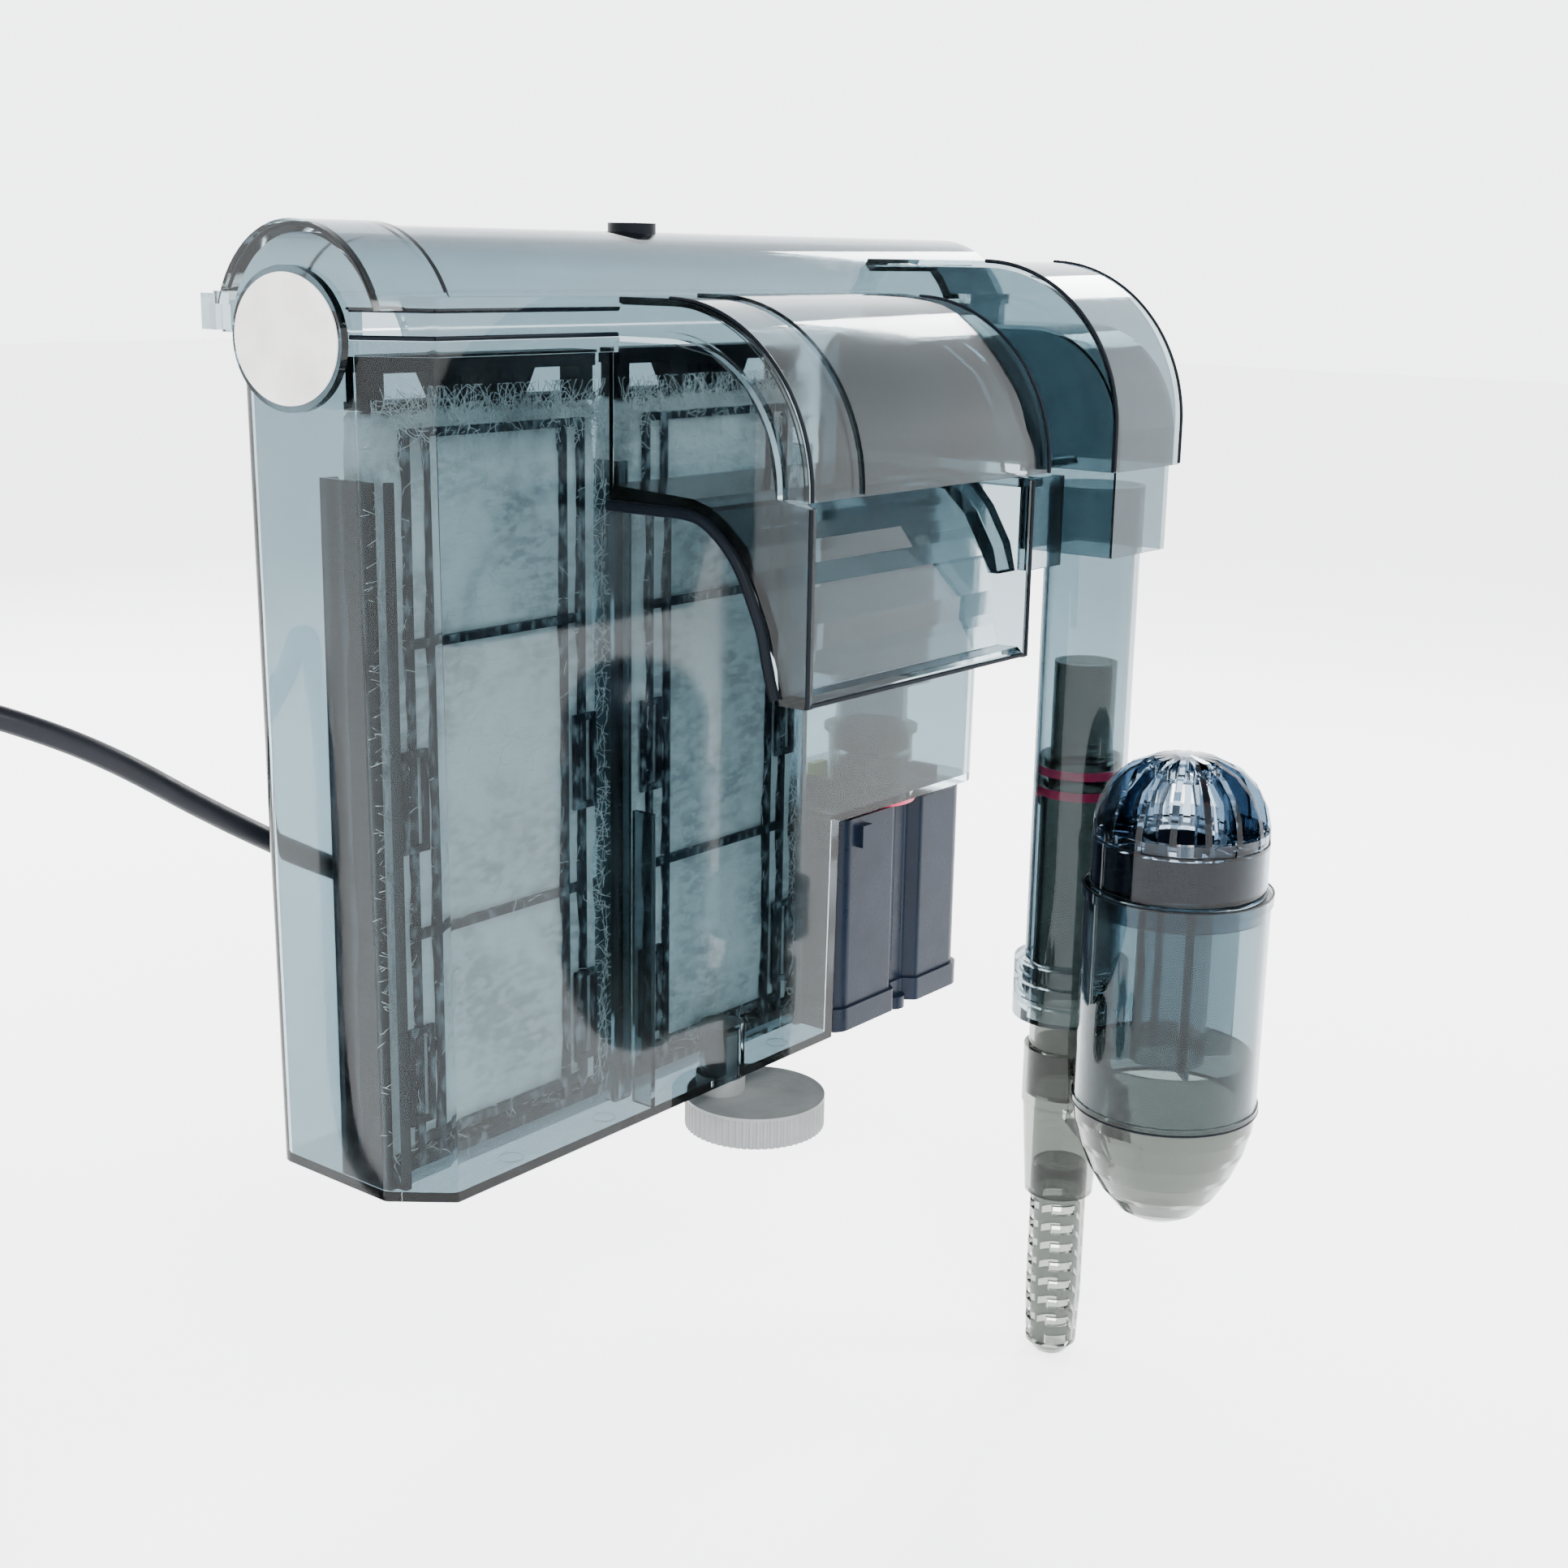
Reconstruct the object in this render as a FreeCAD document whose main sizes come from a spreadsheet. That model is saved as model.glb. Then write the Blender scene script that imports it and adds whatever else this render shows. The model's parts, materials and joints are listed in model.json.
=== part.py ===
import FreeCAD, Part
import math
import os
import Sketcher

# Hang on back aquarium filter. Millimetres.
# Every station below is measured from the bottom front corner of the filter box:
# X runs along the tank wall, Y points away from the tank, Z is up. The frame's origin is
# the middle of the seat that rests on the tank's rim, so each sub-part is placed by SEAT.

os.makedirs("parts", exist_ok=True)
doc = FreeCAD.newDocument("hang_on_back_filter")
Vector = FreeCAD.Vector

# ---------------------------------------------------------------- driving dimensions
DIMENSIONS = {
    "seat_x": 110.0,            # middle of the rim seat along the wall
    "seat_y": -14.0,            # middle of the rim seat across the glass
    "seat_z": 174.0,            # height of the rim seat above the box floor
    "wall": 2.0,                # moulded wall of the clear parts
    "box_depth": 57.0,
    "box_rim": 215.0,
    "step_height": 69.0,        # floor of the shallow end, over the motor
    "skirt_height": 9.6,
    "skirt_bottom": 215.4,
    "lid_top": 225.0,
    "dome_radius": 28.5,
    "hood_width": 106.5,
    "hood_radius": 45.0,
    "spout_width": 99.2,
    "cowl_width": 37.0,
    "cartridge_width": 75.5,
    "bar_width": 2.2,
    "motor_height": 61.0,
    "tube_radius": 13.8,
    "tube_bore": 12.4,
    "tube_length": 161.0,
    "collar_radius": 17.0,
    "telescope_radius": 11.4,
    "telescope_bore": 9.8,
    "spigot_radius": 9.2,
    "ring_section": 1.3,
    "skimmer_radius": 26.2,
    "skimmer_bore": 25.0,
    "skimmer_height": 65.5,
    "float_radius": 23.4,
    "float_height": 11.6,
    "strainer_radius": 8.6,
    "strainer_length": 64.0,
    "disc_radius": 20.7,
    "disc_height": 9.4,
    "pin_radius": 5.0,
    "magnet_radius": 8.2,
    "magnet_height": 38.0,
    "shaft_radius": 1.5,
    "impeller_radius": 10.4,
    "cord_diameter": 6.4,
    "coil_radius": 33.2,
    "plug_pin_radius": 2.0,
    "plug_pin_length": 19.0,
}
sheet = doc.addObject("Spreadsheet::Sheet", "dims")
for row, (alias, value) in enumerate(DIMENSIONS.items(), start=1):
    sheet.set("A%d" % row, alias)
    sheet.set("B%d" % row, str(value))
    sheet.setAlias("B%d" % row, alias)
doc.recompute()


def dim(alias):
    return float(sheet.get(alias))


WALL = dim("wall")
SEAT = Vector(dim("seat_x"), dim("seat_y"), dim("seat_z"))
nodes = {}


def at(x, y, z):
    """The frame's place of a station."""
    return Vector(x, y, z) - SEAT


def bind(thing, name, value):
    """A size is a number, or an expression on the sheet."""
    if isinstance(value, str):
        thing.setExpression(name, value)
    else:
        setattr(thing, name, value)


def unique(name):
    taken = {o.Name for o in doc.Objects}
    count = 1
    while "%s_%d" % (name, count) in taken:
        count += 1
    return "%s_%d" % (name, count)


TURNS = {
    "+Z": FreeCAD.Rotation(),
    "+X": FreeCAD.Rotation(Vector(0, 1, 0), 90),
    "-X": FreeCAD.Rotation(Vector(0, 1, 0), -90),
    "-Y": FreeCAD.Rotation(Vector(1, 0, 0), 90),
    "+Y": FreeCAD.Rotation(Vector(1, 0, 0), -90),
}


def box(corner, size, turn=0.0, about=None):
    thing = doc.addObject("Part::Box", unique("block"))
    for name, value in zip(("Length", "Width", "Height"), size):
        bind(thing, name, value)
    place = FreeCAD.Placement(at(*corner), FreeCAD.Rotation())
    if turn:
        spin = FreeCAD.Placement(Vector(), FreeCAD.Rotation(Vector(0, 0, 1), turn), at(*about))
        place = spin.multiply(place)
    thing.Placement = place
    return thing


def cylinder(foot, radius, height, way="+Z"):
    thing = doc.addObject("Part::Cylinder", unique("round"))
    bind(thing, "Radius", radius)
    bind(thing, "Height", height)
    thing.Placement = FreeCAD.Placement(at(*foot), TURNS[way])
    return thing


def cone(foot, foot_radius, top_radius, height, way="+Z"):
    thing = doc.addObject("Part::Cone", unique("taper"))
    bind(thing, "Radius1", foot_radius)
    bind(thing, "Radius2", top_radius)
    bind(thing, "Height", height)
    thing.Placement = FreeCAD.Placement(at(*foot), TURNS[way])
    return thing


def fuse(*parts):
    if len(parts) == 1:
        return parts[0]
    thing = doc.addObject("Part::MultiFuse", unique("join"))
    thing.Shapes = list(parts)
    thing.Refine = True
    return thing


def cut(base, *tools):
    thing = doc.addObject("Part::Cut", unique("cut"))
    thing.Base = base
    thing.Tool = fuse(*tools)
    thing.Refine = True
    return thing


def common(*parts):
    thing = doc.addObject("Part::MultiCommon", unique("overlap"))
    thing.Shapes = list(parts)
    return thing


def pipe(foot, radius, bore, height, way="+Z"):
    """A plain tube; the bore tool runs past both ends."""
    reach = {"+Z": (0, 0, -1), "-X": (1, 0, 0), "+X": (-1, 0, 0), "+Y": (0, -1, 0), "-Y": (0, 1, 0)}
    start = tuple(a + b for a, b in zip(foot, reach[way]))
    longer = height + 2 if not isinstance(height, str) else "%s + 2" % height
    return cut(cylinder(foot, radius, height, way), cylinder(start, bore, longer, way))


def node(label, thing):
    thing.Label = label
    nodes[label] = thing
    return thing


# ---------------------------------------------------------------- sketched bodies
def rounded(points):
    """The edges of a closed outline of (u, v) or (u, v, corner radius) points."""
    corners = []
    count = len(points)
    for i, point in enumerate(points):
        here = Vector(point[0], point[1], 0)
        radius = point[2] if len(point) > 2 else 0.0
        if not radius:
            corners.append((here, None, here))
            continue
        before = Vector(points[i - 1][0], points[i - 1][1], 0) - here
        after = Vector(points[(i + 1) % count][0], points[(i + 1) % count][1], 0) - here
        before.normalize()
        after.normalize()
        half = before.getAngle(after) / 2
        reach = radius / math.tan(half)
        inward = before + after
        inward.normalize()
        middle = here + inward * (radius / math.sin(half) - radius)
        corners.append((here + before * reach, middle, here + after * reach))
    edges = []
    for i, (start, middle, end) in enumerate(corners):
        if middle is not None:
            edges.append(Part.Arc(start, middle, end))
        following = corners[(i + 1) % count][0]
        if (following - end).Length > 1e-6:
            edges.append(Part.LineSegment(end, following))
    return edges


def new_body(name):
    body = doc.addObject("PartDesign::Body", unique(name))
    body.Placement = FreeCAD.Placement(at(0, 0, 0), FreeCAD.Rotation())
    return body


def pad(body, role, offset, points, length, edges=None):
    """A pad on an origin plane: XY grows up, YZ grows along +X."""
    sketch = sketch_plain(body, role, offset, edges if edges else rounded(points))
    feature = body.newObject("PartDesign::Pad", unique("pad"))
    feature.Profile = sketch
    bind(feature, "Length", length)
    body.Tip = feature
    return feature


def sketch_plain(body, role, offset, edges):
    plane = [o for o in body.Origin.OriginFeatures if o.Role == role][0]
    sketch = body.newObject("Sketcher::SketchObject", unique("sketch"))
    sketch.AttachmentSupport = [(plane, "")]
    sketch.MapMode = "FlatFace"
    sketch.AttachmentOffset = FreeCAD.Placement(Vector(0, 0, offset), FreeCAD.Rotation())
    for edge in edges:
        sketch.addGeometry(edge, False)
    return sketch


def prism(role, offset, points, length, edges=None):
    body = new_body("body")
    pad(body, role, offset, points, length, edges)
    return body


def loft(foot, foot_points, top, top_points):
    """A drafted solid between two outlines at two heights."""
    body = new_body("drafted")
    low = sketch_plain(body, "XY_Plane", foot, rounded(foot_points))
    high = sketch_plain(body, "XY_Plane", top, rounded(top_points))
    feature = body.newObject("PartDesign::AdditiveLoft", unique("loft"))
    feature.Profile = low
    feature.Sections = [high]
    feature.Ruled = True
    body.Tip = feature
    return body


def turned(centre, outline):
    """A solid of revolution about a vertical axis; outline is (radius, height) or arcs."""
    body = doc.addObject("PartDesign::Body", unique("turned"))
    body.Placement = FreeCAD.Placement(at(centre[0], centre[1], 0), FreeCAD.Rotation())
    sketch = sketch_plain(body, "XZ_Plane", 0, rounded(outline))
    feature = body.newObject("PartDesign::Revolution", unique("revolution"))
    feature.Profile = sketch
    feature.ReferenceAxis = (sketch, ["V_Axis"])
    feature.Angle = 360
    body.Tip = feature
    return body


# ---------------------------------------------------------------- filter box
BOX_LEFT, BOX_RIGHT = -11.7, 236.0
DEEP_RIGHT = 158.0
BOX_DEPTH, RIM, STEP = dim("box_depth"), dim("box_rim"), dim("step_height")
DRAFT = 2.6                    # how far each end wall leans out from floor to rim
PUMP_X, PUMP_Y = 195.8, 17.2   # axis of the impeller and its motor
PIVOT_X, PIVOT_Y = 111.6, 7.2  # pivot of the leveling disc
NOTCH_LEFT, NOTCH_RIGHT = 180.2, 211.4
STOCK = 0.2                    # what is trimmed off the long wall to leave it flat against the tank


def deep_outline(lean, inset):
    left, front, back = BOX_LEFT - lean + inset, inset or -STOCK, BOX_DEPTH - inset
    slope = inset * 0.41
    return [
        (left, 14.4 + slope, 2.0),
        (-lean + slope, front, 2.0),
        (DEEP_RIGHT + 1.5 * lean - inset, front, 2.0),
        (DEEP_RIGHT + 1.5 * lean - inset, back, 2.0),
        (left, back, 5.0 - inset),
    ]


def shallow_outline(lean, inset, left):
    front, back, right = inset or -STOCK, BOX_DEPTH - inset, BOX_RIGHT + lean - inset
    return [(left, front), (right, front, 10.0 - inset), (right, back, 8.0 - inset), (left, back)]


def rim_outline(out):
    return [
        (BOX_LEFT - DRAFT - out, 14.4, 2.0),
        (-DRAFT - out * 0.4, -out, 2.0),
        (BOX_RIGHT + DRAFT + out, -out, 10.0),
        (BOX_RIGHT + DRAFT + out, BOX_DEPTH + out, 8.0),
        (BOX_LEFT - DRAFT - out, BOX_DEPTH + out, 5.0),
    ]


def make_box():
    shell = fuse(
        loft(0, deep_outline(0, 0), RIM, deep_outline(DRAFT, 0)),
        loft(STEP, shallow_outline(0, 0, 140), RIM, shallow_outline(DRAFT, 0, 140)),
        prism("XY_Plane", RIM - 3.6, rim_outline(1.6), 3.6),
    )
    hollow = fuse(
        loft(WALL, deep_outline(0, WALL), RIM + 1, deep_outline(DRAFT, WALL)),
        loft(STEP + WALL, shallow_outline(0, WALL, 120), RIM + 1, shallow_outline(DRAFT, WALL, 120)),
    )
    weir = box((58.6, -5, 178), (95.0, 12, 40))
    notch = box((NOTCH_LEFT, -5, 177.2), (NOTCH_RIGHT - NOTCH_LEFT, 12, 40))
    well_hole = cylinder((PUMP_X, PUMP_Y, STEP - 1), 12.2, 4)
    boss = cylinder((PIVOT_X, PIVOT_Y, 0), 6.6, 16.0)
    boss_hole = cylinder((PIVOT_X, PIVOT_Y, -1), "dims.pin_radius + 0.06", 15.4)
    fin = box((74.6, 1.5, 1.5), (1.6, 7.7, 85.7))
    trimmed = box((-20.0, -1.0, -1.0), (270.0, 1.0, RIM - 2.6))
    shell = cut(shell, trimmed, hollow, weir, notch, well_hole)
    node("filter_box", cut(fuse(shell, boss, fin), boss_hole))


# ---------------------------------------------------------------- waterfall spout
SPOUT_LEFT = 56.5
SPOUT_BACK = [(-27.0, 174.0), (-32.4, 172.6), (-38.5, 168.4), (-44.2, 162.6), (-49.0, 154.4),
              (-52.2, 145.6), (-54.8, 137.0), (-56.4, 128.7)]


def make_spout():
    cheek = [(0, 174)] + SPOUT_BACK + [(-65, 128.7), (-65, 177.4), (-54.4, 179.0)]
    cheek_top = [(-51.6, 194.0), (-44.4, 204.6), (-33.8, 211.6), (-20.4, 214.0), (-1.7, 214.0),
                 (-1.7, 211.3), (0, 211.3)]
    slide_face = [(-56.8, 131.4), (-54.4, 140.0), (-54.6, 146.6), (-50.6, 155.8), (-46.8, 160.4),
                  (-44.8, 166.0), (-38.2, 171.6), (-32.4, 175.0), (-27.0, 176.6), (0, 178.0)]
    lip = [(-63.4, 128.7), (-64.9, 130.2), (-63.4, 131.6)]
    slide = [(0, 174)] + SPOUT_BACK + lip + slide_face
    width = dim("spout_width")
    node("waterfall_spout", fuse(
        prism("YZ_Plane", SPOUT_LEFT, cheek + cheek_top, 2.2),
        prism("YZ_Plane", SPOUT_LEFT, slide, "dims.spout_width"),
        prism("YZ_Plane", SPOUT_LEFT + width - 2.2, cheek + cheek_top, 2.2),
    ))


# ---------------------------------------------------------------- lid
LID_LEFT, LID_RIGHT, LID_FRONT, LID_BACK = -17.5, 241.5, -3.4, 60.4
LID_TOP, SKIRT = dim("lid_top"), dim("skirt_bottom")
DOME_Y, DOME_Z, DOME_R = 28.5, 212.5, dim("dome_radius")
HOOD_LEFT, HOOD_RIGHT = 56.2, 56.2 + dim("hood_width")
HOOD_Y, HOOD_Z, HOOD_R = -20.4, 180.0, dim("hood_radius")
COWL_LEFT, COWL_Y, COWL_Z, COWL_R = 176.0, -33.0, 190.0, 45.0
COWL_BACK = 14.0


def lid_outline(inset):
    return [
        (LID_LEFT + inset, 11.6 + inset * 0.4, 2.0),
        (-5.2 + inset * 0.4, LID_FRONT + inset, 3.0),
        (LID_RIGHT - inset, LID_FRONT + inset, 10.0 - inset),
        (LID_RIGHT - inset, LID_BACK - inset, 8.0 - inset),
        (LID_LEFT + inset, LID_BACK - inset, 4.0),
    ]


def quarter(centre_y, centre_z, radius, back, foot):
    """A flat top that turns down in a quarter circle, as a closed outline's upper edges."""
    diagonal = radius * math.sqrt(0.5)
    top = Vector(centre_y, centre_z + radius, 0)
    side = Vector(centre_y - radius, centre_z, 0)
    middle = Vector(centre_y - diagonal, centre_z + diagonal, 0)
    return [
        Part.LineSegment(Vector(back, centre_z + radius, 0), top),
        Part.Arc(top, middle, side),
        Part.LineSegment(side, Vector(centre_y - radius, foot, 0)),
    ]


def hood_edges(outer, inner, back, foot):
    """The outline of a curved sheet between two radii about the hood's centre."""
    edges = quarter(HOOD_Y, HOOD_Z, outer, back, foot)
    inside = quarter(HOOD_Y, HOOD_Z, inner, back, foot)
    edges.append(Part.LineSegment(edges[-1].EndPoint, inside[-1].EndPoint))
    edges += inside
    edges.append(Part.LineSegment(inside[0].StartPoint, edges[0].StartPoint))
    return edges


def cowl_edges(inset, foot):
    """The cover over the intake: a solid outline with a sloping back, set in from the outside."""
    edges = quarter(COWL_Y, COWL_Z, COWL_R - inset, COWL_BACK - 6 - inset, foot)
    back_low = Vector(COWL_BACK - inset, LID_TOP - 1.0 - inset, 0)
    crest = edges[0].StartPoint
    heel = Vector(LID_FRONT + WALL - 0.2, LID_TOP - 1.0 - inset, 0)
    heel_low = Vector(heel.x, foot, 0)
    edges.append(Part.LineSegment(edges[-1].EndPoint, heel_low))
    edges.append(Part.LineSegment(heel_low, heel))
    edges.append(Part.LineSegment(heel, back_low))
    edges.append(Part.LineSegment(back_low, crest))
    return edges


def make_lid():
    plate = prism("XY_Plane", SKIRT, lid_outline(0), "dims.skirt_height")
    lip = prism("XY_Plane", LID_TOP - 3.0, lid_outline(-1.2), 3.0)
    under = prism("XY_Plane", SKIRT - 1, lid_outline(WALL), LID_TOP - WALL - SKIRT + 1)
    dome = cylinder((LID_LEFT, DOME_Y, DOME_Z), "dims.dome_radius", LID_RIGHT - LID_LEFT + 1.5, "+X")
    band = cylinder((LID_LEFT - 2, DOME_Y, DOME_Z), "dims.dome_radius + 1.0", 24, "+X")
    dome_inside = cylinder((LID_LEFT + WALL, DOME_Y, DOME_Z), DOME_R - WALL,
                           LID_RIGHT - LID_LEFT - 2 * WALL + 1.5, "+X")
    low_part = box((LID_LEFT - 10, DOME_Y - 40, 150), (300, 80, SKIRT + 6.6 - 150))
    dome_shell = cut(fuse(dome, band), low_part)
    hood = prism("YZ_Plane", HOOD_LEFT, None, "dims.hood_width",
                 hood_edges(HOOD_R, HOOD_R - WALL, 0, HOOD_Z - 1))
    panel = prism("YZ_Plane", HOOD_LEFT + 20, None, "dims.hood_width - 32",
                  hood_edges(HOOD_R + 0.9, HOOD_R - 1, -12, HOOD_Z - 0.4))
    side_band = hood_edges(HOOD_R, HOOD_R - dim("skirt_height"), LID_FRONT + WALL, HOOD_Z - 1)
    left_band = prism("YZ_Plane", HOOD_LEFT, None, 2.0, side_band)
    right_band = prism("YZ_Plane", HOOD_RIGHT - 2.0, None, 2.0, side_band)
    ribs = []
    for outer in (HOOD_R, HOOD_R - 8.0):
        rib = hood_edges(outer, outer - 1.6, LID_FRONT + WALL, HOOD_Z - 1)
        ribs.append(prism("YZ_Plane", HOOD_LEFT - 1.0, None, 1.0, rib))
    passage = box((HOOD_LEFT + 2, LID_FRONT - 2, SKIRT - 1),
                  (dim("hood_width") - 4, 8, LID_TOP - WALL - SKIRT + 1))
    cowl = prism("YZ_Plane", COWL_LEFT, None, "dims.cowl_width", cowl_edges(0, HOOD_Z - 1))
    cowl_inside = prism("YZ_Plane", COWL_LEFT + 1.8, None, "dims.cowl_width - 3.6",
                        cowl_edges(1.8, HOOD_Z - 3))
    cowl_passage = box((COWL_LEFT + 1.8, -12, SKIRT - 3), (dim("cowl_width") - 3.6, 24, 19))
    tab = box((LID_LEFT, LID_BACK - 0.5, SKIRT + 0.4), (10, 5.6, 8.6))
    whole = fuse(plate, lip, dome_shell, hood, panel, left_band, right_band, cowl, tab, *ribs)
    node("lid", cut(whole, under, dome_inside, passage, cowl_inside, cowl_passage))
    knob = cut(cylinder((96, DOME_Y, DOME_Z + DOME_R + 0.05 - 2.0), 6.5, 4.2),
               cylinder((80, DOME_Y, DOME_Z), DOME_R + 0.02, 40, "+X"))
    node("lid_knob", knob)


def ellipse_body(x, thickness, half_y, half_z, y, z):
    curve = Part.Ellipse(Vector(y, z, 0), half_y, half_z)
    return prism("YZ_Plane", x, None, thickness, [curve])


BADGE_Y, BADGE_Z = 29.0, 214.8


def make_badge():
    skirt_side = LID_LEFT - 2.0
    disc = ellipse_body(skirt_side - 2.0, 1.98, 19.6, 16.8, BADGE_Y, BADGE_Z)
    spacer = box((skirt_side - 0.02, 14, SKIRT + 0.2), (1.9, 30, 6.0))
    node("badge_disc", fuse(disc, spacer))
    node("badge_label", ellipse_body(skirt_side - 2.35, 0.35, 18.4, 15.2, BADGE_Y, BADGE_Z))


# ---------------------------------------------------------------- cartridges
PAD_FRONT, PAD_BACK = 15.8, 29.0
CARTRIDGE_FOOT, PAD_TOP, HANDLE_TOP = 8.0, 198.0, 211.0
CARTRIDGE_LEFTS = (-7.0, 79.2)
BAR_HEIGHTS = (13.0, 68.0, 142.0, 193.0)


def make_cartridge(number, left):
    width, bar = dim("cartridge_width"), dim("bar_width")
    rails = [left + 7.0, left + 14.2, left + width - 15.8, left + width - 9.2]
    front, back = PAD_FRONT - 1.8, PAD_BACK
    pieces = []
    for plane in (front, back):
        for x in rails:
            pieces.append(box((x, plane, CARTRIDGE_FOOT - 1),
                              ("dims.bar_width", 1.8, BAR_HEIGHTS[3] - CARTRIDGE_FOOT)))
        for z in BAR_HEIGHTS:
            pieces.append(box((rails[0], plane, z - bar / 2),
                              (rails[3] - rails[0] + bar, 1.8, "dims.bar_width")))
    for x in (rails[0] - 3.2, rails[3] - 3.0):
        for z in (18.0, 90.0):
            loop = box((x, front - 0.8, z), (8.4, 1.0, 26.0))
            hole = box((x + 1.8, front - 2, z + 1.8), (4.8, 3.0, 22.4))
            pieces.append(cut(loop, hole))
    foot = box((left, front, CARTRIDGE_FOOT - 2.2), (width, back - front + 1.8, 2.6))
    node("cartridge_frame_%d" % number, fuse(foot, *pieces))
    node("floss_pad_%d" % number, box((left, PAD_FRONT, CARTRIDGE_FOOT + 0.9),
                                      (width, PAD_BACK - PAD_FRONT, PAD_TOP - CARTRIDGE_FOOT - 1.2)))
    make_handle(number, left, width)


def make_handle(number, left, width):
    """The comb handle: a top bar, a funnel shaped web with slits and two end posts."""
    low, high = PAD_TOP + 0.2, HANDLE_TOP
    middle = left + width / 2
    outline = [(middle - 12, low), (middle + 12, low), (middle + 19, high), (middle - 19, high)]
    body = new_body("web")
    # the XZ plane's normal is -Y, so the offset and the pad run towards -Y
    pad(body, "XZ_Plane", -(PAD_FRONT + 9.0), outline, 7.0)
    bar = box((left, PAD_FRONT + 1.0, high - 4.0), (width, 9.0, 4.0))
    posts = [box((x, PAD_FRONT + 2.0, low), (5.0, 7.0, high - low)) for x in (left, left + width - 5.0)]
    foot = box((left, PAD_FRONT + 1.0, low), (width, 9.0, 2.0))
    slits = [box((middle + x - 0.9, PAD_FRONT - 1, low + 3.4), (1.8, 14, high - low - 8.4))
             for x in (-9.0, -4.5, 0.0, 4.5, 9.0)]
    node("cartridge_handle_%d" % number, cut(fuse(body, bar, foot, *posts), *slits))


def make_guides():
    """Upright channels that the cartridges slide down in, on a floor plate."""
    front, back, thick, tall, plate = 12.2, 31.2, 1.4, 180.0, 1.9
    depth, foot = back - front + thick, WALL + 0.02
    node("left_guide", fuse(
        box((-9.4, 15.0, foot), (1.2, 17.6, tall)),
        box((-6.8, front, foot), (2.2, thick, tall)),
        box((-9.4, back, foot), (4.8, thick, tall)),
        box((-9.4, 15.0, foot), (4.8, 17.6, plate)),
        box((-6.8, front, foot), (2.2, 4.0, plate)),
    ))
    node("cartridge_guides", fuse(
        box((-4.58, 14.6, foot), (160.18, 18.0, plate)),
        box((73.2, front, foot), (1.8, depth, tall)),
        box((70.6, front, foot), (6.8, thick, tall)),
        box((70.6, back, foot), (6.8, thick, tall)),
        box((155.55, front, foot), (0.42, depth, tall)),
        box((153.4, front, foot), (2.4, thick, tall)),
        box((153.4, back, foot), (2.4, thick, tall)),
    ))


# ---------------------------------------------------------------- motor and impeller
MOTOR_FOOT, MOTOR_TOP = 6.0, 6.0 + dim("motor_height")
RELIEF_X, LEAD_Y, LEAD_Z = 176.0, 64.0, 44.0   # where the lead leaves the gland


def motor_outline(inset):
    left, right, front, back = 163.0 + inset, 231.0 - inset, 3.0 + inset, 50.0 - inset
    notch = 4.0
    return [
        (left, front, 6.0 - inset), (191.5 + inset, front, 2.0), (194.5, front + notch, 2.0),
        (203.5, front + notch, 2.0), (206.5 - inset, front, 2.0), (right, front, 6.0 - inset),
        (right, back, 6.0 - inset), (left, back, 6.0 - inset),
    ]


def make_motor():
    shell = prism("XY_Plane", MOTOR_FOOT, motor_outline(0), "dims.motor_height")
    hollow = prism("XY_Plane", MOTOR_FOOT - 1, motor_outline(2.2), dim("motor_height") - 1.4)
    well = cylinder((PUMP_X, PUMP_Y, 13.0), 10.4, MOTOR_TOP - 13.0)
    well_bore = cylinder((PUMP_X, PUMP_Y, 14.6), 9.0, 60)
    neck = pipe((PUMP_X, PUMP_Y, MOTOR_TOP - 0.5), 11.6, 9.0, 6.4)
    hook = box((172.0, 0.9, 57.5), (5.0, 2.3, 7.0))
    gland = box((RELIEF_X, 48.8, LEAD_Z - 6.5), (14.0, LEAD_Y + 6.6 - 48.8, 13.0))
    body = fuse(cut(shell, hollow), well, neck, hook, gland)
    node("motor_housing", cut(body, well_bore))
    cap = prism("XY_Plane", -1.5, [(p[0] + s[0], p[1] + s[1]) + tuple(p[2:]) for p, s in zip(
        motor_outline(0), ((-1, -1), (1, -1), (1, -1), (-1, -1), (-1, -1), (1, -1), (1, 1), (-1, 1)))], 7.5)
    stem = cylinder((199.0, 7.0, -2.8), 4.0, 4)
    node("motor_cap", fuse(cap, stem))
    legs = [box((x, 12.0, 20.0), (8.0, 11.0, 30.0)) for x in (175.0, 209.0)]
    yoke = box((175.0, 12.0 + 11.0, 24.0), (42.0, 14.0, 22.0))
    clear_well = cylinder((PUMP_X, PUMP_Y, 10), 10.6, 60)
    node("stator_core", cut(fuse(yoke, *legs), clear_well, box((182.0, 30.9, 20), (28.4, 20, 30))))
    coil = box((183.6, 31.2, 16.0), (25.0, 15.0, 38.0))
    node("stator_coil", coil)
    node("motor_gasket", pipe((PUMP_X, PUMP_Y, MOTOR_TOP + 0.02), 15.4, 12.4, STEP - MOTOR_TOP - 0.04))


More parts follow.
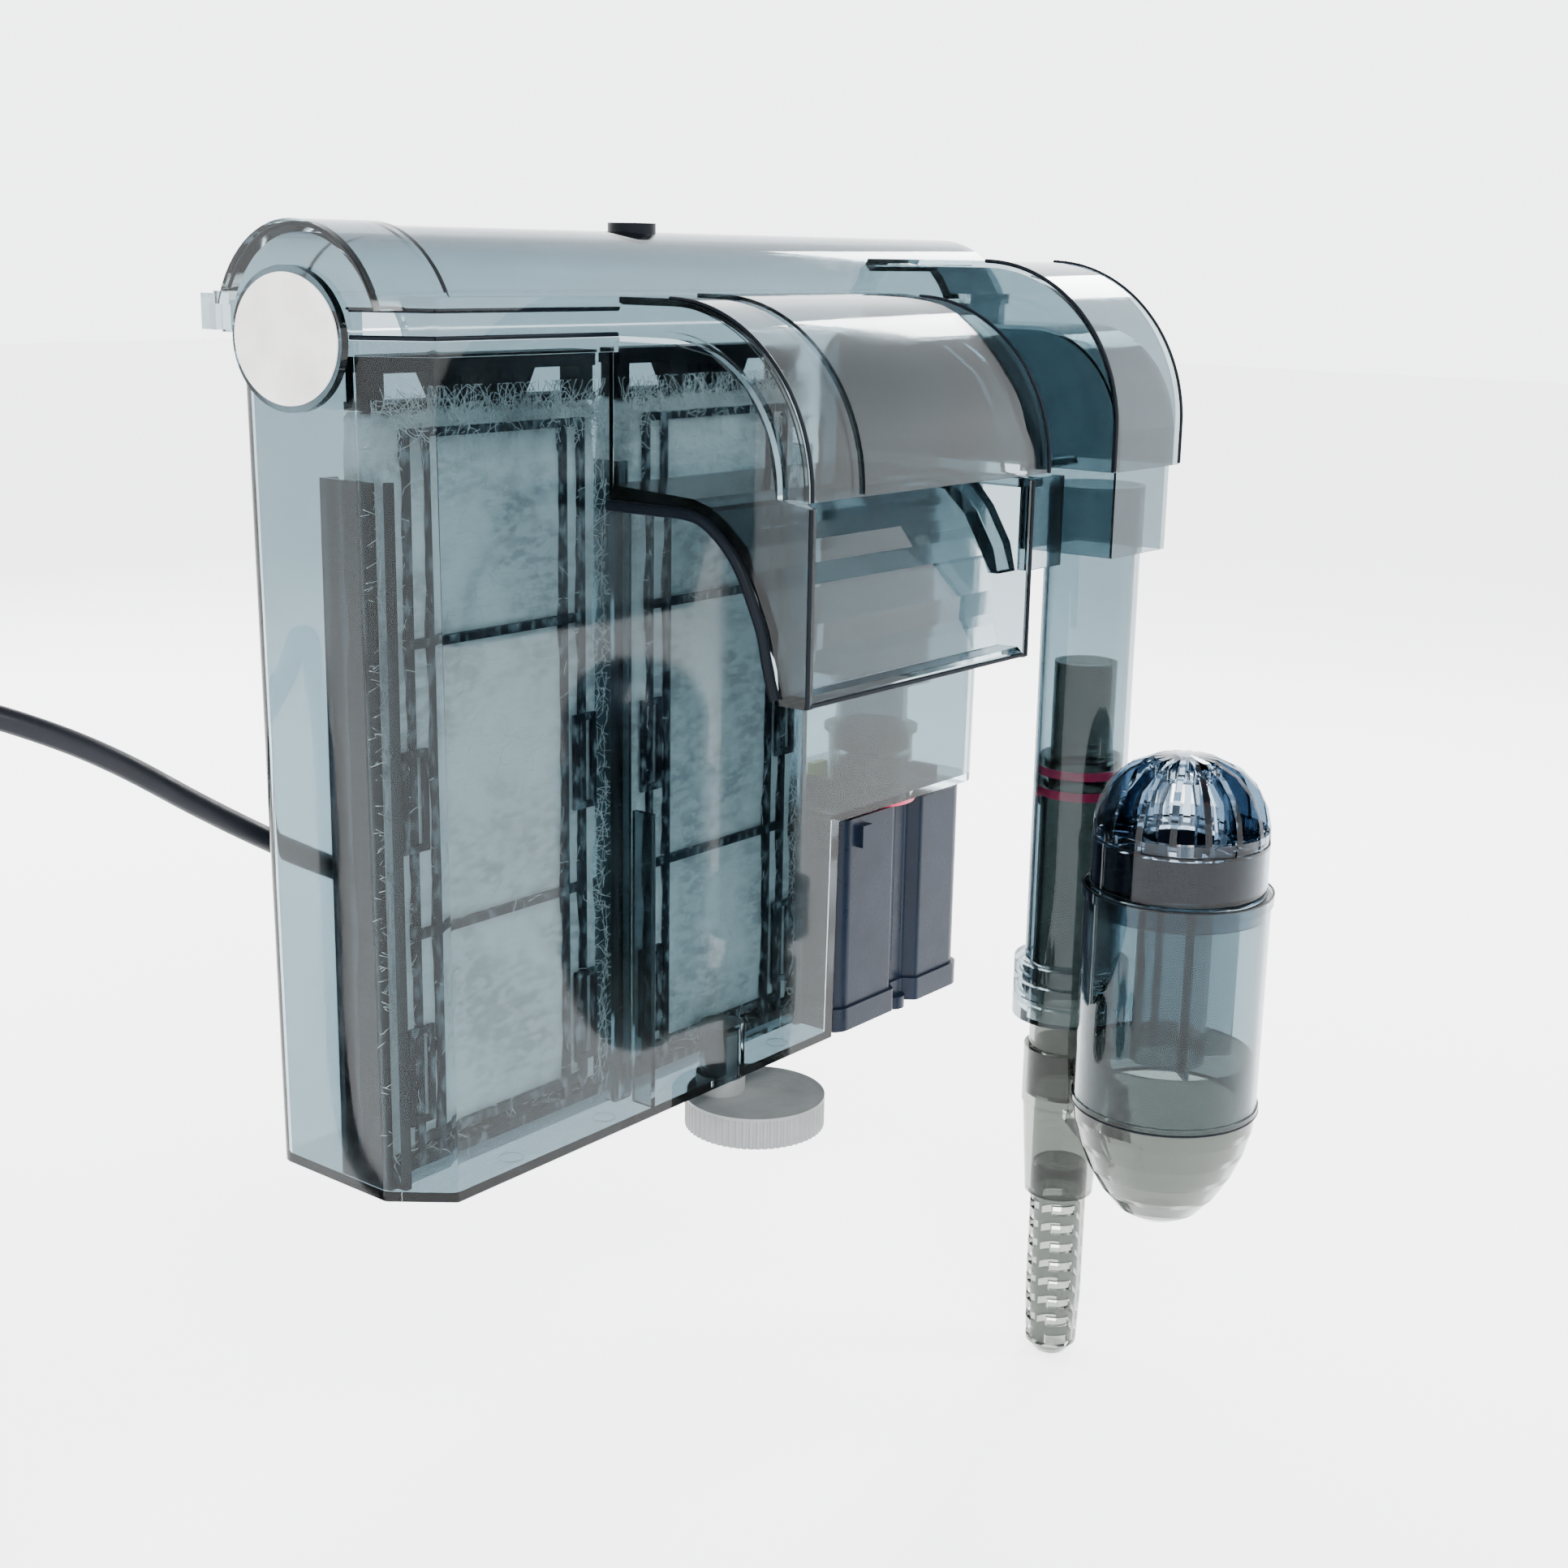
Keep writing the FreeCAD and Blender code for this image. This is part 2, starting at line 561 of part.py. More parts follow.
def make_impeller():
    shaft_foot = 14.8
    node("impeller_shaft", cylinder((PUMP_X, PUMP_Y, shaft_foot), "dims.shaft_radius", 69.6))
    node("lower_bush", pipe((PUMP_X, PUMP_Y, 14.62), 3.2, 1.5, 3.0))
    node("upper_bush", pipe((PUMP_X, PUMP_Y, 81.4), 2.4, 1.5, 3.0))
    node("rotor_magnet", pipe((PUMP_X, PUMP_Y, 18.2), "dims.magnet_radius", 1.56, "dims.magnet_height"))
    hub = cylinder((PUMP_X, PUMP_Y, 56.4), 3.6, 23.6)
    plate = cylinder((PUMP_X, PUMP_Y, 73.4), "dims.impeller_radius - 0.6", 1.4)
    blades = []
    for turn in range(6):
        blades.append(box((PUMP_X + 2.6, PUMP_Y - 0.6, 73.4), (7.2, 1.2, 6.4), 60.0 * turn,
                          (PUMP_X, PUMP_Y, 0)))
    bore = cylinder((PUMP_X, PUMP_Y, 50), 1.56, 40)
    node("impeller", cut(fuse(hub, plate, *blades), bore))


def make_impeller_cover():
    wall = pipe((PUMP_X, PUMP_Y, 71.02), 13.4, 12.1, 19.98)
    flange = pipe((PUMP_X, PUMP_Y, 89.4), 14.9, 12.1, 1.6)
    deck = pipe((PUMP_X, PUMP_Y, 82.4), 12.6, 8.4, 1.6)
    hub = cylinder((PUMP_X, PUMP_Y, 82.4), 4.0, 1.6)
    spokes = [box((PUMP_X - 10, PUMP_Y - 1.1, 82.4), (20, 2.2, 1.6), turn, (PUMP_X, PUMP_Y, 0))
              for turn in (0, 90)]
    lugs = [box((PUMP_X + x, PUMP_Y - 3.5, 71.02), (4.4, 7, 2.6)) for x in (-17.4, 13.0)]
    outlet = box((PUMP_X - 4.5, PUMP_Y + 6, 74.6), (9, 10, 6.4))
    bush_hole = cylinder((PUMP_X, PUMP_Y, 80), 2.42, 6)
    body = fuse(wall, flange, deck, hub, *spokes, *lugs)
    node("impeller_cover", cut(body, outlet, bush_hole))
    slot = [box((PUMP_X + x, PUMP_Y - 12.4, 71.02), (2.0, 24.8, 4.8)) for x in (-20.2, 18.2)]
    node("bayonet_rails", fuse(*slot))
    node("lock_tab", box((PUMP_X - 17.6, PUMP_Y + 9.0, 71.03), (7.0, 2.6, 8.4)))


# ---------------------------------------------------------------- intake
TUBE_X, TUBE_Y = PUMP_X, -60.9
DUCT_WIDTH = 30.2


def duct_edges(wall):
    """The side outline of the water path that climbs from the pump and turns down to the tube."""
    if wall:
        points = [
            (TUBE_Y - 15.1 + wall, 100), (TUBE_Y - 15.1 + wall, 217.6 - wall, 30 - wall),
            (PUMP_Y + 12.0 - wall, 217.6 - wall, 14 - wall), (PUMP_Y + 12.0 - wall, 70),
            (PUMP_Y - 12.0 + wall, 70), (PUMP_Y - 12.0 + wall, 178.4 + wall, 5.0),
            (TUBE_Y + 15.1 - wall, 178.4 + wall, 2.0), (TUBE_Y + 15.1 - wall, 100),
        ]
    else:
        points = [
            (TUBE_Y - 15.1, 154.6), (TUBE_Y - 15.1, 217.6, 30), (PUMP_Y + 12.0, 217.6, 14),
            (PUMP_Y + 12.0, 104), (PUMP_Y - 12.0, 104), (PUMP_Y - 12.0, 178.4, 4.0),
            (TUBE_Y + 15.1, 178.4, 3.0), (TUBE_Y + 15.1, 154.6),
        ]
    return rounded(points)


def make_intake():
    left = TUBE_X - DUCT_WIDTH / 2
    outer = prism("YZ_Plane", left, None, DUCT_WIDTH, duct_edges(0))
    inner = prism("YZ_Plane", left + 1.2, None, DUCT_WIDTH - 2.4, duct_edges(1.2))
    rear_floor = box((left, PUMP_Y - 12.0, 104.0), (DUCT_WIDTH, 24.0, 1.6))
    rear_leg = cylinder((PUMP_X, PUMP_Y, 85.0), 11.4, 20.0)
    leg_bore = cylinder((PUMP_X, PUMP_Y, 80.0), 10.0, 26.0)
    node("intake_duct", cut(fuse(cut(outer, inner), rear_floor, rear_leg), leg_bore))
    foot = 12.4
    tube = cylinder((TUBE_X, TUBE_Y, foot), "dims.tube_radius", "dims.tube_length")
    rings = []
    for z, high in ((foot, 5.2), (foot + 7.0, 4.6), (foot + 13.4, 4.2)):
        rings.append(cylinder((TUBE_X, TUBE_Y, z), "dims.collar_radius", high))
    skirt = cylinder((TUBE_X, TUBE_Y, foot), "dims.collar_radius - 1.6", 18.0)
    bore = cylinder((TUBE_X, TUBE_Y, foot - 1), "dims.tube_bore", "dims.tube_length + 2")
    node("intake_tube", cut(fuse(tube, skirt, *rings), bore))
    carrier_foot, carrier_top = 78.6, 93.6
    spigot = cylinder((TUBE_X, TUBE_Y, carrier_foot), "dims.spigot_radius", 121.6 - carrier_foot)
    carrier = cylinder((TUBE_X, TUBE_Y, carrier_foot), "dims.tube_bore - 0.2", carrier_top - carrier_foot)
    body = cylinder((TUBE_X, TUBE_Y, -12.0), "dims.telescope_radius", carrier_foot + 12.0)
    hollow = fuse(cylinder((TUBE_X, TUBE_Y, -13.0), "dims.telescope_bore", 96.0),
                  cylinder((TUBE_X, TUBE_Y, 60.0), "dims.spigot_radius - 1.3", 70.0))
    seats = [pipe((TUBE_X, TUBE_Y, z - 1.32), 14.0, 10.9, 2.64) for z in (83.0, 89.2)]
    node("telescopic_tube", cut(fuse(spigot, carrier, body), hollow, *seats))
    for name, z in (("lower_o_ring", 83.0), ("upper_o_ring", 89.2)):
        node(name, pipe((TUBE_X, TUBE_Y, z - 1.3), "dims.tube_bore - 0.05", 10.92, 2.6))


# ---------------------------------------------------------------- surface skimmer
SKIM_X, SKIM_Y = 180.2, -103.4
SKIM_FOOT, SKIM_JOINT = -35.0, -0.7
CAP_FOOT, CAP_BASE, CAP_TOP = 65.2, 79.3, 103.2


# Radius and height of the skimmer's deep bowl, from its foot up.
BOWL = [(8.0, SKIM_FOOT), (12.0, -32.6), (16.8, -27.0), (20.9, -20.0), (23.8, -13.0), (25.6, -6.0),
        (26.2, SKIM_JOINT)]


def make_skimmer_base():
    outer = turned((SKIM_X, SKIM_Y), [(0, SKIM_FOOT)] + BOWL + [(0, SKIM_JOINT)])
    collar = cylinder((SKIM_X, SKIM_Y, SKIM_JOINT - 2), "dims.skimmer_bore - 0.1", 18.0)
    inside = [(r - 1.6, z + 1.2) for r, z in BOWL]
    inside[-1] = (23.4, SKIM_JOINT)
    hollow = turned((SKIM_X, SKIM_Y), [(0, SKIM_FOOT + 1.6), (7.0, SKIM_FOOT + 1.6)] + inside[1:]
                    + [(23.4, 20.0), (0, 20.0)])
    sleeve = fuse(cylinder((TUBE_X, TUBE_Y, -16.0), 12.8, 18.0),
                  cone((TUBE_X, TUBE_Y, -45.8), 10.5, 12.4, 30.0))
    bearing = math.degrees(math.atan2(SKIM_Y - TUBE_Y, SKIM_X - TUBE_X))
    arm_body = doc.addObject("PartDesign::Body", unique("arm"))
    turn = FreeCAD.Rotation(Vector(0, 0, 1), bearing)
    arm_body.Placement = FreeCAD.Placement(at(TUBE_X, TUBE_Y, 0), turn)
    pad(arm_body, "XZ_Plane", -7.0, [(6, -3.0), (30, -8.0), (34, -24.0), (28, -27.0), (6, -17.0)], 14.0)
    bore = fuse(cylinder((TUBE_X, TUBE_Y, -13.0), "dims.telescope_radius + 0.08", 20.0),
                cylinder((TUBE_X, TUBE_Y, -50.0), "dims.strainer_radius + 0.06", 60.0))
    channel = doc.addObject("PartDesign::Body", unique("channel"))
    channel.Placement = FreeCAD.Placement(at(TUBE_X, TUBE_Y, 0), turn)
    pad(channel, "XZ_Plane", -5.4, [(0, -15.0), (34, -19.0), (34, -22.0), (28, -25.0), (0, -16.6)], 10.8)
    shell = fuse(outer, collar, sleeve, arm_body)
    node("skimmer_base", cut(shell, hollow, bore, channel))


def make_skimmer():
    make_skimmer_base()
    centre = (SKIM_X, SKIM_Y)
    wall = pipe((*centre, SKIM_JOINT + 0.02), "dims.skimmer_radius", "dims.skimmer_bore",
                "dims.skimmer_height")
    top_ridge = pipe((*centre, 61.8), "dims.skimmer_radius + 0.7", "dims.skimmer_bore", 3.0)
    foot_ridge = pipe((*centre, SKIM_JOINT + 0.02), "dims.skimmer_radius + 0.5", "dims.skimmer_bore", 2.2)
    node("skimmer_body", fuse(wall, top_ridge, foot_ridge))
    node("skimmer_float", pipe((*centre, CAP_FOOT + 1.25), "dims.float_radius", 12.0, "dims.float_height"))
    band = pipe((*centre, CAP_FOOT), 24.8, 23.6, CAP_BASE - CAP_FOOT)
    sill = pipe((*centre, CAP_FOOT), 24.8, 11.6, 1.2)
    skirt = pipe((*centre, CAP_FOOT - 7.0), "dims.skimmer_bore - 0.08", 23.8, 7.5)
    deck = pipe((*centre, CAP_BASE - 1.2), 24.8, 11.6, 1.2)
    profile = [(0, CAP_BASE - 1.0), (24.8, CAP_BASE - 1.0), (24.6, 84.0), (23.4, 89.0), (20.6, 94.4),
               (16.0, 98.8), (9.0, 102.0), (0, CAP_TOP)]
    dome = turned(centre, profile)
    core = turned(centre, [(0, 70), (15.4, 70), (15.2, 84.0), (13.6, 91.0), (9.6, 96.4), (0, 99.4)])
    fins = []
    count = 16
    for i in range(count):
        fins.append(box((SKIM_X, SKIM_Y - 1.0, CAP_BASE - 1.0), (26.0, 2.0, 26.0), 360.0 / count * i,
                        (SKIM_X, SKIM_Y, 0)))
    crown = cut(common(dome, fuse(*fins)), core)
    top_ring = pipe((*centre, 96.6), 10.5, 7.5, 3.4)
    outer_ring = pipe((*centre, CAP_BASE - 0.6), 24.4, 22.4, 4.0)
    node("skimmer_cap", fuse(band, sill, skirt, deck, crown, common(dome, top_ring), outer_ring))
    column_foot = 13.0
    column = pipe((*centre, column_foot), 10.6, 9.2, CAP_FOOT - column_foot - 0.02)
    flange = pipe((*centre, CAP_FOOT - 1.6), 22.0, 9.2, 1.58)
    vanes = [box((SKIM_X + 10.0, SKIM_Y - 0.6, column_foot), (9.0, 1.2, CAP_FOOT - column_foot - 1), turn,
                 (SKIM_X, SKIM_Y, 0)) for turn in (45, 135, 225, 315)]
    node("skimmer_column", fuse(column, flange, *vanes))


STRAINER_FOOT = -100.4


def make_strainer():
    centre = (TUBE_X, TUBE_Y)
    top = STRAINER_FOOT + dim("strainer_length")
    wall = turned(centre, [(0, STRAINER_FOOT), (5.0, STRAINER_FOOT), (7.9, STRAINER_FOOT + 3.4),
                           (8.6, STRAINER_FOOT + 20), (8.6, top), (7.2, top), (7.2, STRAINER_FOOT + 20),
                           (6.4, STRAINER_FOOT + 4.2), (4.4, STRAINER_FOOT + 1.5), (0, STRAINER_FOOT + 1.5)])
    slots = []
    rows, spacing = 8, 6.3
    for row in range(rows):
        z = STRAINER_FOOT + 4.6 + spacing * row
        for turn in (0, 90, 180, 270):
            slots.append(box((TUBE_X + 4.0, TUBE_Y - 3.4, z), (7.0, 6.8, 3.0), turn + 45,
                             (TUBE_X, TUBE_Y, 0)))
    node("strainer", cut(wall, *slots))


# ---------------------------------------------------------------- leveling disc and clip
def make_leveling_disc():
    centre = (PIVOT_X + 4.6, PIVOT_Y - 9.8)
    top = -5.0
    disc = cylinder((*centre, top - dim("disc_height")), "dims.disc_radius", "dims.disc_height")
    pin = cylinder((PIVOT_X, PIVOT_Y, top - 1), "dims.pin_radius", 19.2)
    flutes = []
    count = 64
    for i in range(count):
        angle = 2 * math.pi * i / count
        reach = dim("disc_radius") + 0.3
        flutes.append(cylinder((centre[0] + reach * math.cos(angle), centre[1] + reach * math.sin(angle),
                                top - 12), 0.7, 11.0))
    washer = cylinder((PIVOT_X, PIVOT_Y, top - 0.5), 7.6, 5.3)
    node("leveling_disc", cut(fuse(disc, pin, washer), *flutes))


def make_clip():
    """The bracket beside the spout that hooks over the rim and steadies the intake tube."""
    left = 160.2
    hook = [(0, 173.8), (-27.0, 173.8), (-33.0, 172.0), (-40.0, 166.0), (-46.0, 156.0), (-48.6, 150.0),
            (-52.0, 150.0), (-50.0, 158.0), (-44.0, 168.0), (-37.0, 175.6), (-28.0, 177.0), (0, 177.0)]
    arm = prism("YZ_Plane", left, hook, 9.0)
    reach = box((left + 2, -58.8, 174.4), (7.0, 23.0, 2.4))
    tab = box((left + 2, -60.4, 151.5), (17.0, 1.8, 25.3))
    ribs = [box((x, -60.4, 151.5), (1.6, 3.4, 25.3)) for x in (left + 2, left + 17.4)]
    node("intake_clip", fuse(arm, reach, tab, *ribs))


# ---------------------------------------------------------------- mains lead
CORD_R = dim("cord_diameter") / 2
COIL_X, COIL_Y, FLOOR = -136.0, 94.0, STRAINER_FOOT
COIL_R = dim("coil_radius")
LEAD_ROUTE = [
    (146.0, 64.0, 44.0), (118.0, 64.0, 44.0), (86.0, 65.2, 47.6), (52.0, 67.4, 56.0), (18.0, 71.6, 72.0),
    (-12.0, 78.6, 91.0), (-36.0, 86.4, 109.0), (-56.0, 97.0, 120.0), (-70.5, 110.0, 125.6),
    (-84.0, 123.6, 122.0), (-95.0, 134.4, 110.0), (-101.4, 140.6, 92.0), (-104.0, 143.2, 67.0),
    (-104.6, 144.0, 34.0), (-103.6, 144.4, -4.0), (-103.4, 144.0, -40.0), (-108.6, 143.0, -64.4),
    (-120.8, 141.2, -81.0), (-138.0, 138.4, -91.6), (-157.0, 130.4, -96.6), (-168.6, 116.4, -97.2),
]
TAIL_ROUTE = [(-168.6, 116.4, -90.8), (-179.5, 101.5, -92.0), (-185.5, 84.5, -96.4),
              (-187.5, 67.0, -97.2), (-187.5, 49.0, -97.2)]


def route_wire(points, label):
    """Straight runs joined by arcs as large as 0.45 of the shorter run allows."""
    corners = [at(*p) for p in points]
    edges, start, radii = [], corners[0], []
    for before, here, after in zip(corners, corners[1:], corners[2:]):
        back, ahead = before - here, after - here
        reach = 0.45 * min(back.Length, ahead.Length)
        back.normalize()
        ahead.normalize()
        half = (math.pi - back.getAngle(ahead)) / 2
        radius = reach / math.tan(half)
        radii.append(radius)
        inward = back + ahead
        inward.normalize()
        middle = here + inward * (radius / math.cos(half) - radius)
        first, last = here + back * reach, here + ahead * reach
        edges.append(Part.LineSegment(start, first).toShape())
        edges.append(Part.Arc(first, middle, last).toShape())
        start = last
    edges.append(Part.LineSegment(start, corners[-1]).toShape())
    wire = Part.Wire(edges)
    print(label, "length %.0f" % wire.Length, "smallest bend %.1f" % min(radii),
          "bends", [round(r) for r in radii])
    return wire


def tube_along(points, label):
    wire = route_wire(points, label)
    first, second = at(*points[0]), at(*points[1])
    ring = Part.Wire(Part.Circle(first, second - first, CORD_R).toShape())
    solid = wire.makePipeShell([ring], True, False)
    exact = math.pi * CORD_R ** 2 * wire.Length
    print(label, "volume share %.4f" % (solid.Volume / exact))
    thing = doc.addObject("Part::Feature", unique("cord"))
    thing.Shape = solid
    return node(label, thing)


def make_cord():
    node("strain_relief", cone((RELIEF_X - 0.02, LEAD_Y, LEAD_Z), 5.2, 4.0, 29.96, "-X"))
    tube_along(LEAD_ROUTE, "mains_lead")
    outside, inside, tall = COIL_R + 3 * CORD_R, COIL_R - 3 * CORD_R, 4 * CORD_R
    coil = cut(cylinder((COIL_X, COIL_Y, FLOOR), outside, tall),
               cylinder((COIL_X, COIL_Y, FLOOR - 1), inside, tall + 2))
    node("cord_coil", coil)
    tube_along(TAIL_ROUTE, "cord_tail")
    tie = box((COIL_X - 3.0, COIL_Y - outside - 1.0, FLOOR + 0.01), (6.0, outside - inside + 2.0, tall + 1.2))
    tie_gap = cut(cylinder((COIL_X, COIL_Y, FLOOR - 1), outside + 0.02, tall + 1.02),
                  cylinder((COIL_X, COIL_Y, FLOOR - 1), inside - 0.02, tall + 1.02))
    node("cord_tie", cut(tie, tie_gap))
    plug_x, plug_y = TAIL_ROUTE[-1][:2]
    body = new_body("plug")
    half_small, half_wide = 5.0, 13.0
    outline = [(plug_x - half_small, plug_y - 0.02), (plug_x - half_wide, plug_y - 22.0, 6.0),
               (plug_x - half_wide, plug_y - 36.0), (plug_x + half_wide, plug_y - 36.0),
               (plug_x + half_wide, plug_y - 22.0, 6.0), (plug_x + half_small, plug_y - 0.02)]
    pad(body, "XY_Plane", FLOOR, outline, 13.0)
    node("plug_body", body)
    pins = [cylinder((plug_x + x, plug_y - 36.02, FLOOR + 6.5), "dims.plug_pin_radius",
                     "dims.plug_pin_length", "-Y") for x in (-9.5, 9.5)]
    node("plug_pins", fuse(*pins))


make_box()
make_spout()
make_lid()
make_badge()
for cartridge, left_side in enumerate(CARTRIDGE_LEFTS, start=1):
    make_cartridge(cartridge, left_side)
make_guides()
make_motor()
make_impeller()
make_impeller_cover()
make_intake()
make_skimmer()
make_strainer()
make_leveling_disc()
make_clip()
make_cord()

doc.recompute()
broken = [o.Label for o in doc.Objects if "Invalid" in o.State or "Error" in o.State]
if broken:
    raise RuntimeError("failed objects: %s" % broken)
for label, thing in nodes.items():
    shape = thing.Shape
    if shape.isNull() or not shape.isValid() or not shape.Solids:
        raise RuntimeError("no valid solid: %s" % label)
    shape.exportStep("parts/%s.step" % label)
    span = shape.BoundBox
    print("%-22s %d solid(s) %9.1f mm3  %.1f x %.1f x %.1f" % (
        label, len(shape.Solids), shape.Volume, span.XLength, span.YLength, span.ZLength))
print(len(nodes), "nodes")
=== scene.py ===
import json
import math
import random

import bmesh
import bpy
from mathutils import Matrix, Vector, noise


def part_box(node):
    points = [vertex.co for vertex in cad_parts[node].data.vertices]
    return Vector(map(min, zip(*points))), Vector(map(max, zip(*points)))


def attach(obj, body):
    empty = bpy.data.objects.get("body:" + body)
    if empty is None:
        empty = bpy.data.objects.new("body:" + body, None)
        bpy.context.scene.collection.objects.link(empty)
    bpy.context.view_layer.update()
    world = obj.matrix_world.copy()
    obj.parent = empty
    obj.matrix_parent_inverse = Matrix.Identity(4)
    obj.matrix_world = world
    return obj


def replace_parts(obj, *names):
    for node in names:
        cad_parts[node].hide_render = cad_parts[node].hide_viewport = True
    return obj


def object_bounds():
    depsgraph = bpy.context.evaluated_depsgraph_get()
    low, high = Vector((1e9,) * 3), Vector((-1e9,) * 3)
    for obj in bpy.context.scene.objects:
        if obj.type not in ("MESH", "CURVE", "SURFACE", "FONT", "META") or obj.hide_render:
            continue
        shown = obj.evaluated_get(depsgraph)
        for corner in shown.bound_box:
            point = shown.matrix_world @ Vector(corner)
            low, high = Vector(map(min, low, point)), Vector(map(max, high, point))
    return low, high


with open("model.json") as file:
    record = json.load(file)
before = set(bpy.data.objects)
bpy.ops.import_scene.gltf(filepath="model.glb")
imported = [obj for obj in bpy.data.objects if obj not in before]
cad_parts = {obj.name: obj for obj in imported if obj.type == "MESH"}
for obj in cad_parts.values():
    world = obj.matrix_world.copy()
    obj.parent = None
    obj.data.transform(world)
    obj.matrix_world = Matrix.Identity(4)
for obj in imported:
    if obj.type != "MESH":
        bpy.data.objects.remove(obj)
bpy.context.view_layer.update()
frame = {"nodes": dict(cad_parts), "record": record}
nodes = frame["nodes"]
MM = 0.001


# ---------------------------------------------------------------- camera
# The camera stands off the box's near end, slightly above the lid, on the tank's side.
SEAT = Vector((110.0, -14.0, 174.0))        # the frame's origin from the box's bottom front corner
LENS, SENSOR = 48.98, 36.0
EYE = Vector((-343.8, -373.4, 236.6))       # from the box's bottom front corner too
AHEAD, ABOVE = Vector((0.76246, 0.59999, -0.24223)), Vector((0.1786, 0.1644, 0.9701))


def add_camera():
    data = bpy.data.cameras.new("camera")
    data.lens = LENS
    data.sensor_width = SENSOR
    data.clip_start = 0.01
    eye = bpy.data.objects.new("camera", data)
    ahead = AHEAD.normalized()
    right = ahead.cross(ABOVE).normalized()
    up = right.cross(ahead)
    turn = Matrix((right, up, -ahead)).transposed().to_4x4()
    eye.matrix_world = Matrix.Translation((EYE - SEAT) * MM) @ turn
    bpy.context.collection.objects.link(eye)
    bpy.context.scene.camera = eye


add_camera()

# ---------------------------------------------------------------- mains lead
CORD_D = 6.4
FLOOR = -100.4
COIL_X, COIL_Y, COIL_TURNS = -136.0, 94.0, 4
COIL_RADIUS, COIL_START = 39.6, 145.5       # where the lead enters the coil, in mm and degrees
LEAD_ROUTE = [
    (146.0, 64.0, 44.0), (118.0, 64.0, 44.0), (86.0, 65.2, 47.6), (52.0, 67.4, 56.0), (18.0, 71.6, 72.0),
    (-12.0, 78.6, 91.0), (-36.0, 86.4, 109.0), (-56.0, 97.0, 120.0), (-70.5, 110.0, 125.6),
    (-84.0, 123.6, 122.0), (-95.0, 134.4, 110.0), (-101.4, 140.6, 92.0), (-104.0, 143.2, 67.0),
    (-104.6, 144.0, 34.0), (-103.6, 144.4, -4.0), (-103.4, 144.0, -40.0), (-108.6, 143.0, -64.4),
    (-120.8, 141.2, -81.0), (-138.0, 138.4, -91.6), (-157.0, 130.4, -96.6), (-168.6, 116.4, -97.2),
]
TAIL_ROUTE = [(-179.5, 101.5, -92.0), (-185.5, 84.5, -96.4), (-187.5, 67.0, -97.2), (-187.5, 49.0, -97.2)]


def coil_points():
    """The wound part: two turns inwards on the floor, then two outwards on top of them."""
    points = []
    start, steps = math.radians(COIL_START), 16
    for i in range(1, COIL_TURNS * steps + 1):
        turn = i / steps
        inwards = min(turn, COIL_TURNS - turn)
        climb = min(max((turn - 1.9) / 0.2, 0.0), 1.0)
        radius = COIL_RADIUS - CORD_D * inwards
        angle = start + 2 * math.pi * turn
        points.append((COIL_X + radius * math.cos(angle), COIL_Y + radius * math.sin(angle),
                       FLOOR + CORD_D / 2 + CORD_D * climb))
    return points


def spline_length(curve_object):
    mesh = bpy.data.meshes.new_from_object(curve_object)
    line = [v.co for v in mesh.vertices]
    return sum((b - a).length for a, b in zip(line, line[1:]))


def add_cord(material):
    data = bpy.data.curves.new("mains_cord", "CURVE")
    data.dimensions = "3D"
    data.resolution_u = 8
    spline = data.splines.new("NURBS")
    points = LEAD_ROUTE + coil_points() + TAIL_ROUTE
    spline.points.add(len(points) - 1)
    for point, place in zip(spline.points, points):
        point.co = (*((Vector(place) - SEAT) * MM), 1.0)
    spline.order_u = 3
    spline.use_endpoint_u = True
    cord = bpy.data.objects.new("mains_cord", data)
    bpy.context.collection.objects.link(cord)
    length = spline_length(cord)
    data.bevel_depth = CORD_D / 2 * MM
    data.bevel_resolution = 5
    data.use_fill_caps = True
    data.materials.append(material)
    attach(cord, "root")
    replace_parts(cord, "mains_lead", "cord_coil", "cord_tail")


# ---------------------------------------------------------------- materials
class Recipe:
    """A node material with a few shorthands for its node tree."""

    def __init__(self, name):
        self.material = bpy.data.materials.new(name)
        self.material.use_nodes = True
        self.tree = self.material.node_tree
        self.shader = self.tree.nodes["Principled BSDF"]
        self.output = self.tree.nodes["Material Output"]
        self.place = self.add("ShaderNodeTexCoord").outputs["Object"]

    def add(self, kind, **values):
        made = self.tree.nodes.new(kind)
        for key, value in values.items():
            setattr(made, key, value)
        return made

    def link(self, source, target):
        self.tree.links.new(source, target)

    def put(self, **values):
        for key, value in values.items():
            self.shader.inputs[key.replace("_", " ")].default_value = value

    def noise(self, scale, detail=3.0, stretch=(1, 1, 1)):
        mapping = self.add("ShaderNodeMapping")
        mapping.inputs["Scale"].default_value = stretch
        self.link(self.place, mapping.inputs["Vector"])
        texture = self.add("ShaderNodeTexNoise")
        texture.inputs["Scale"].default_value = scale
        texture.inputs["Detail"].default_value = detail
        self.link(mapping.outputs["Vector"], texture.inputs["Vector"])
        return texture.outputs["Fac"]

    def ranged(self, source, low, high, to_low, to_high):
        node = self.add("ShaderNodeMapRange")
        for key, value in zip(("From Min", "From Max", "To Min", "To Max"), (low, high, to_low, to_high)):
            node.inputs[key].default_value = value
        self.link(source, node.inputs["Value"])
        return node.outputs["Result"]

    def mixed(self, factor, first, second):
        node = self.add("ShaderNodeMix", data_type="RGBA")
        self.link(factor, node.inputs["Factor"])
        for socket, value in ((node.inputs["A"], first), (node.inputs["B"], second)):
            if isinstance(value, tuple):
                socket.default_value = (*value, 1.0)
            else:
                self.link(value, socket)
        return node.outputs["Result"]

    def bump(self, source, depth):
        node = self.add("ShaderNodeBump")
        node.inputs["Strength"].default_value = 1.0
        node.inputs["Distance"].default_value = depth
        self.link(source, node.inputs["Height"])
        self.link(node.outputs["Normal"], self.shader.inputs["Normal"])


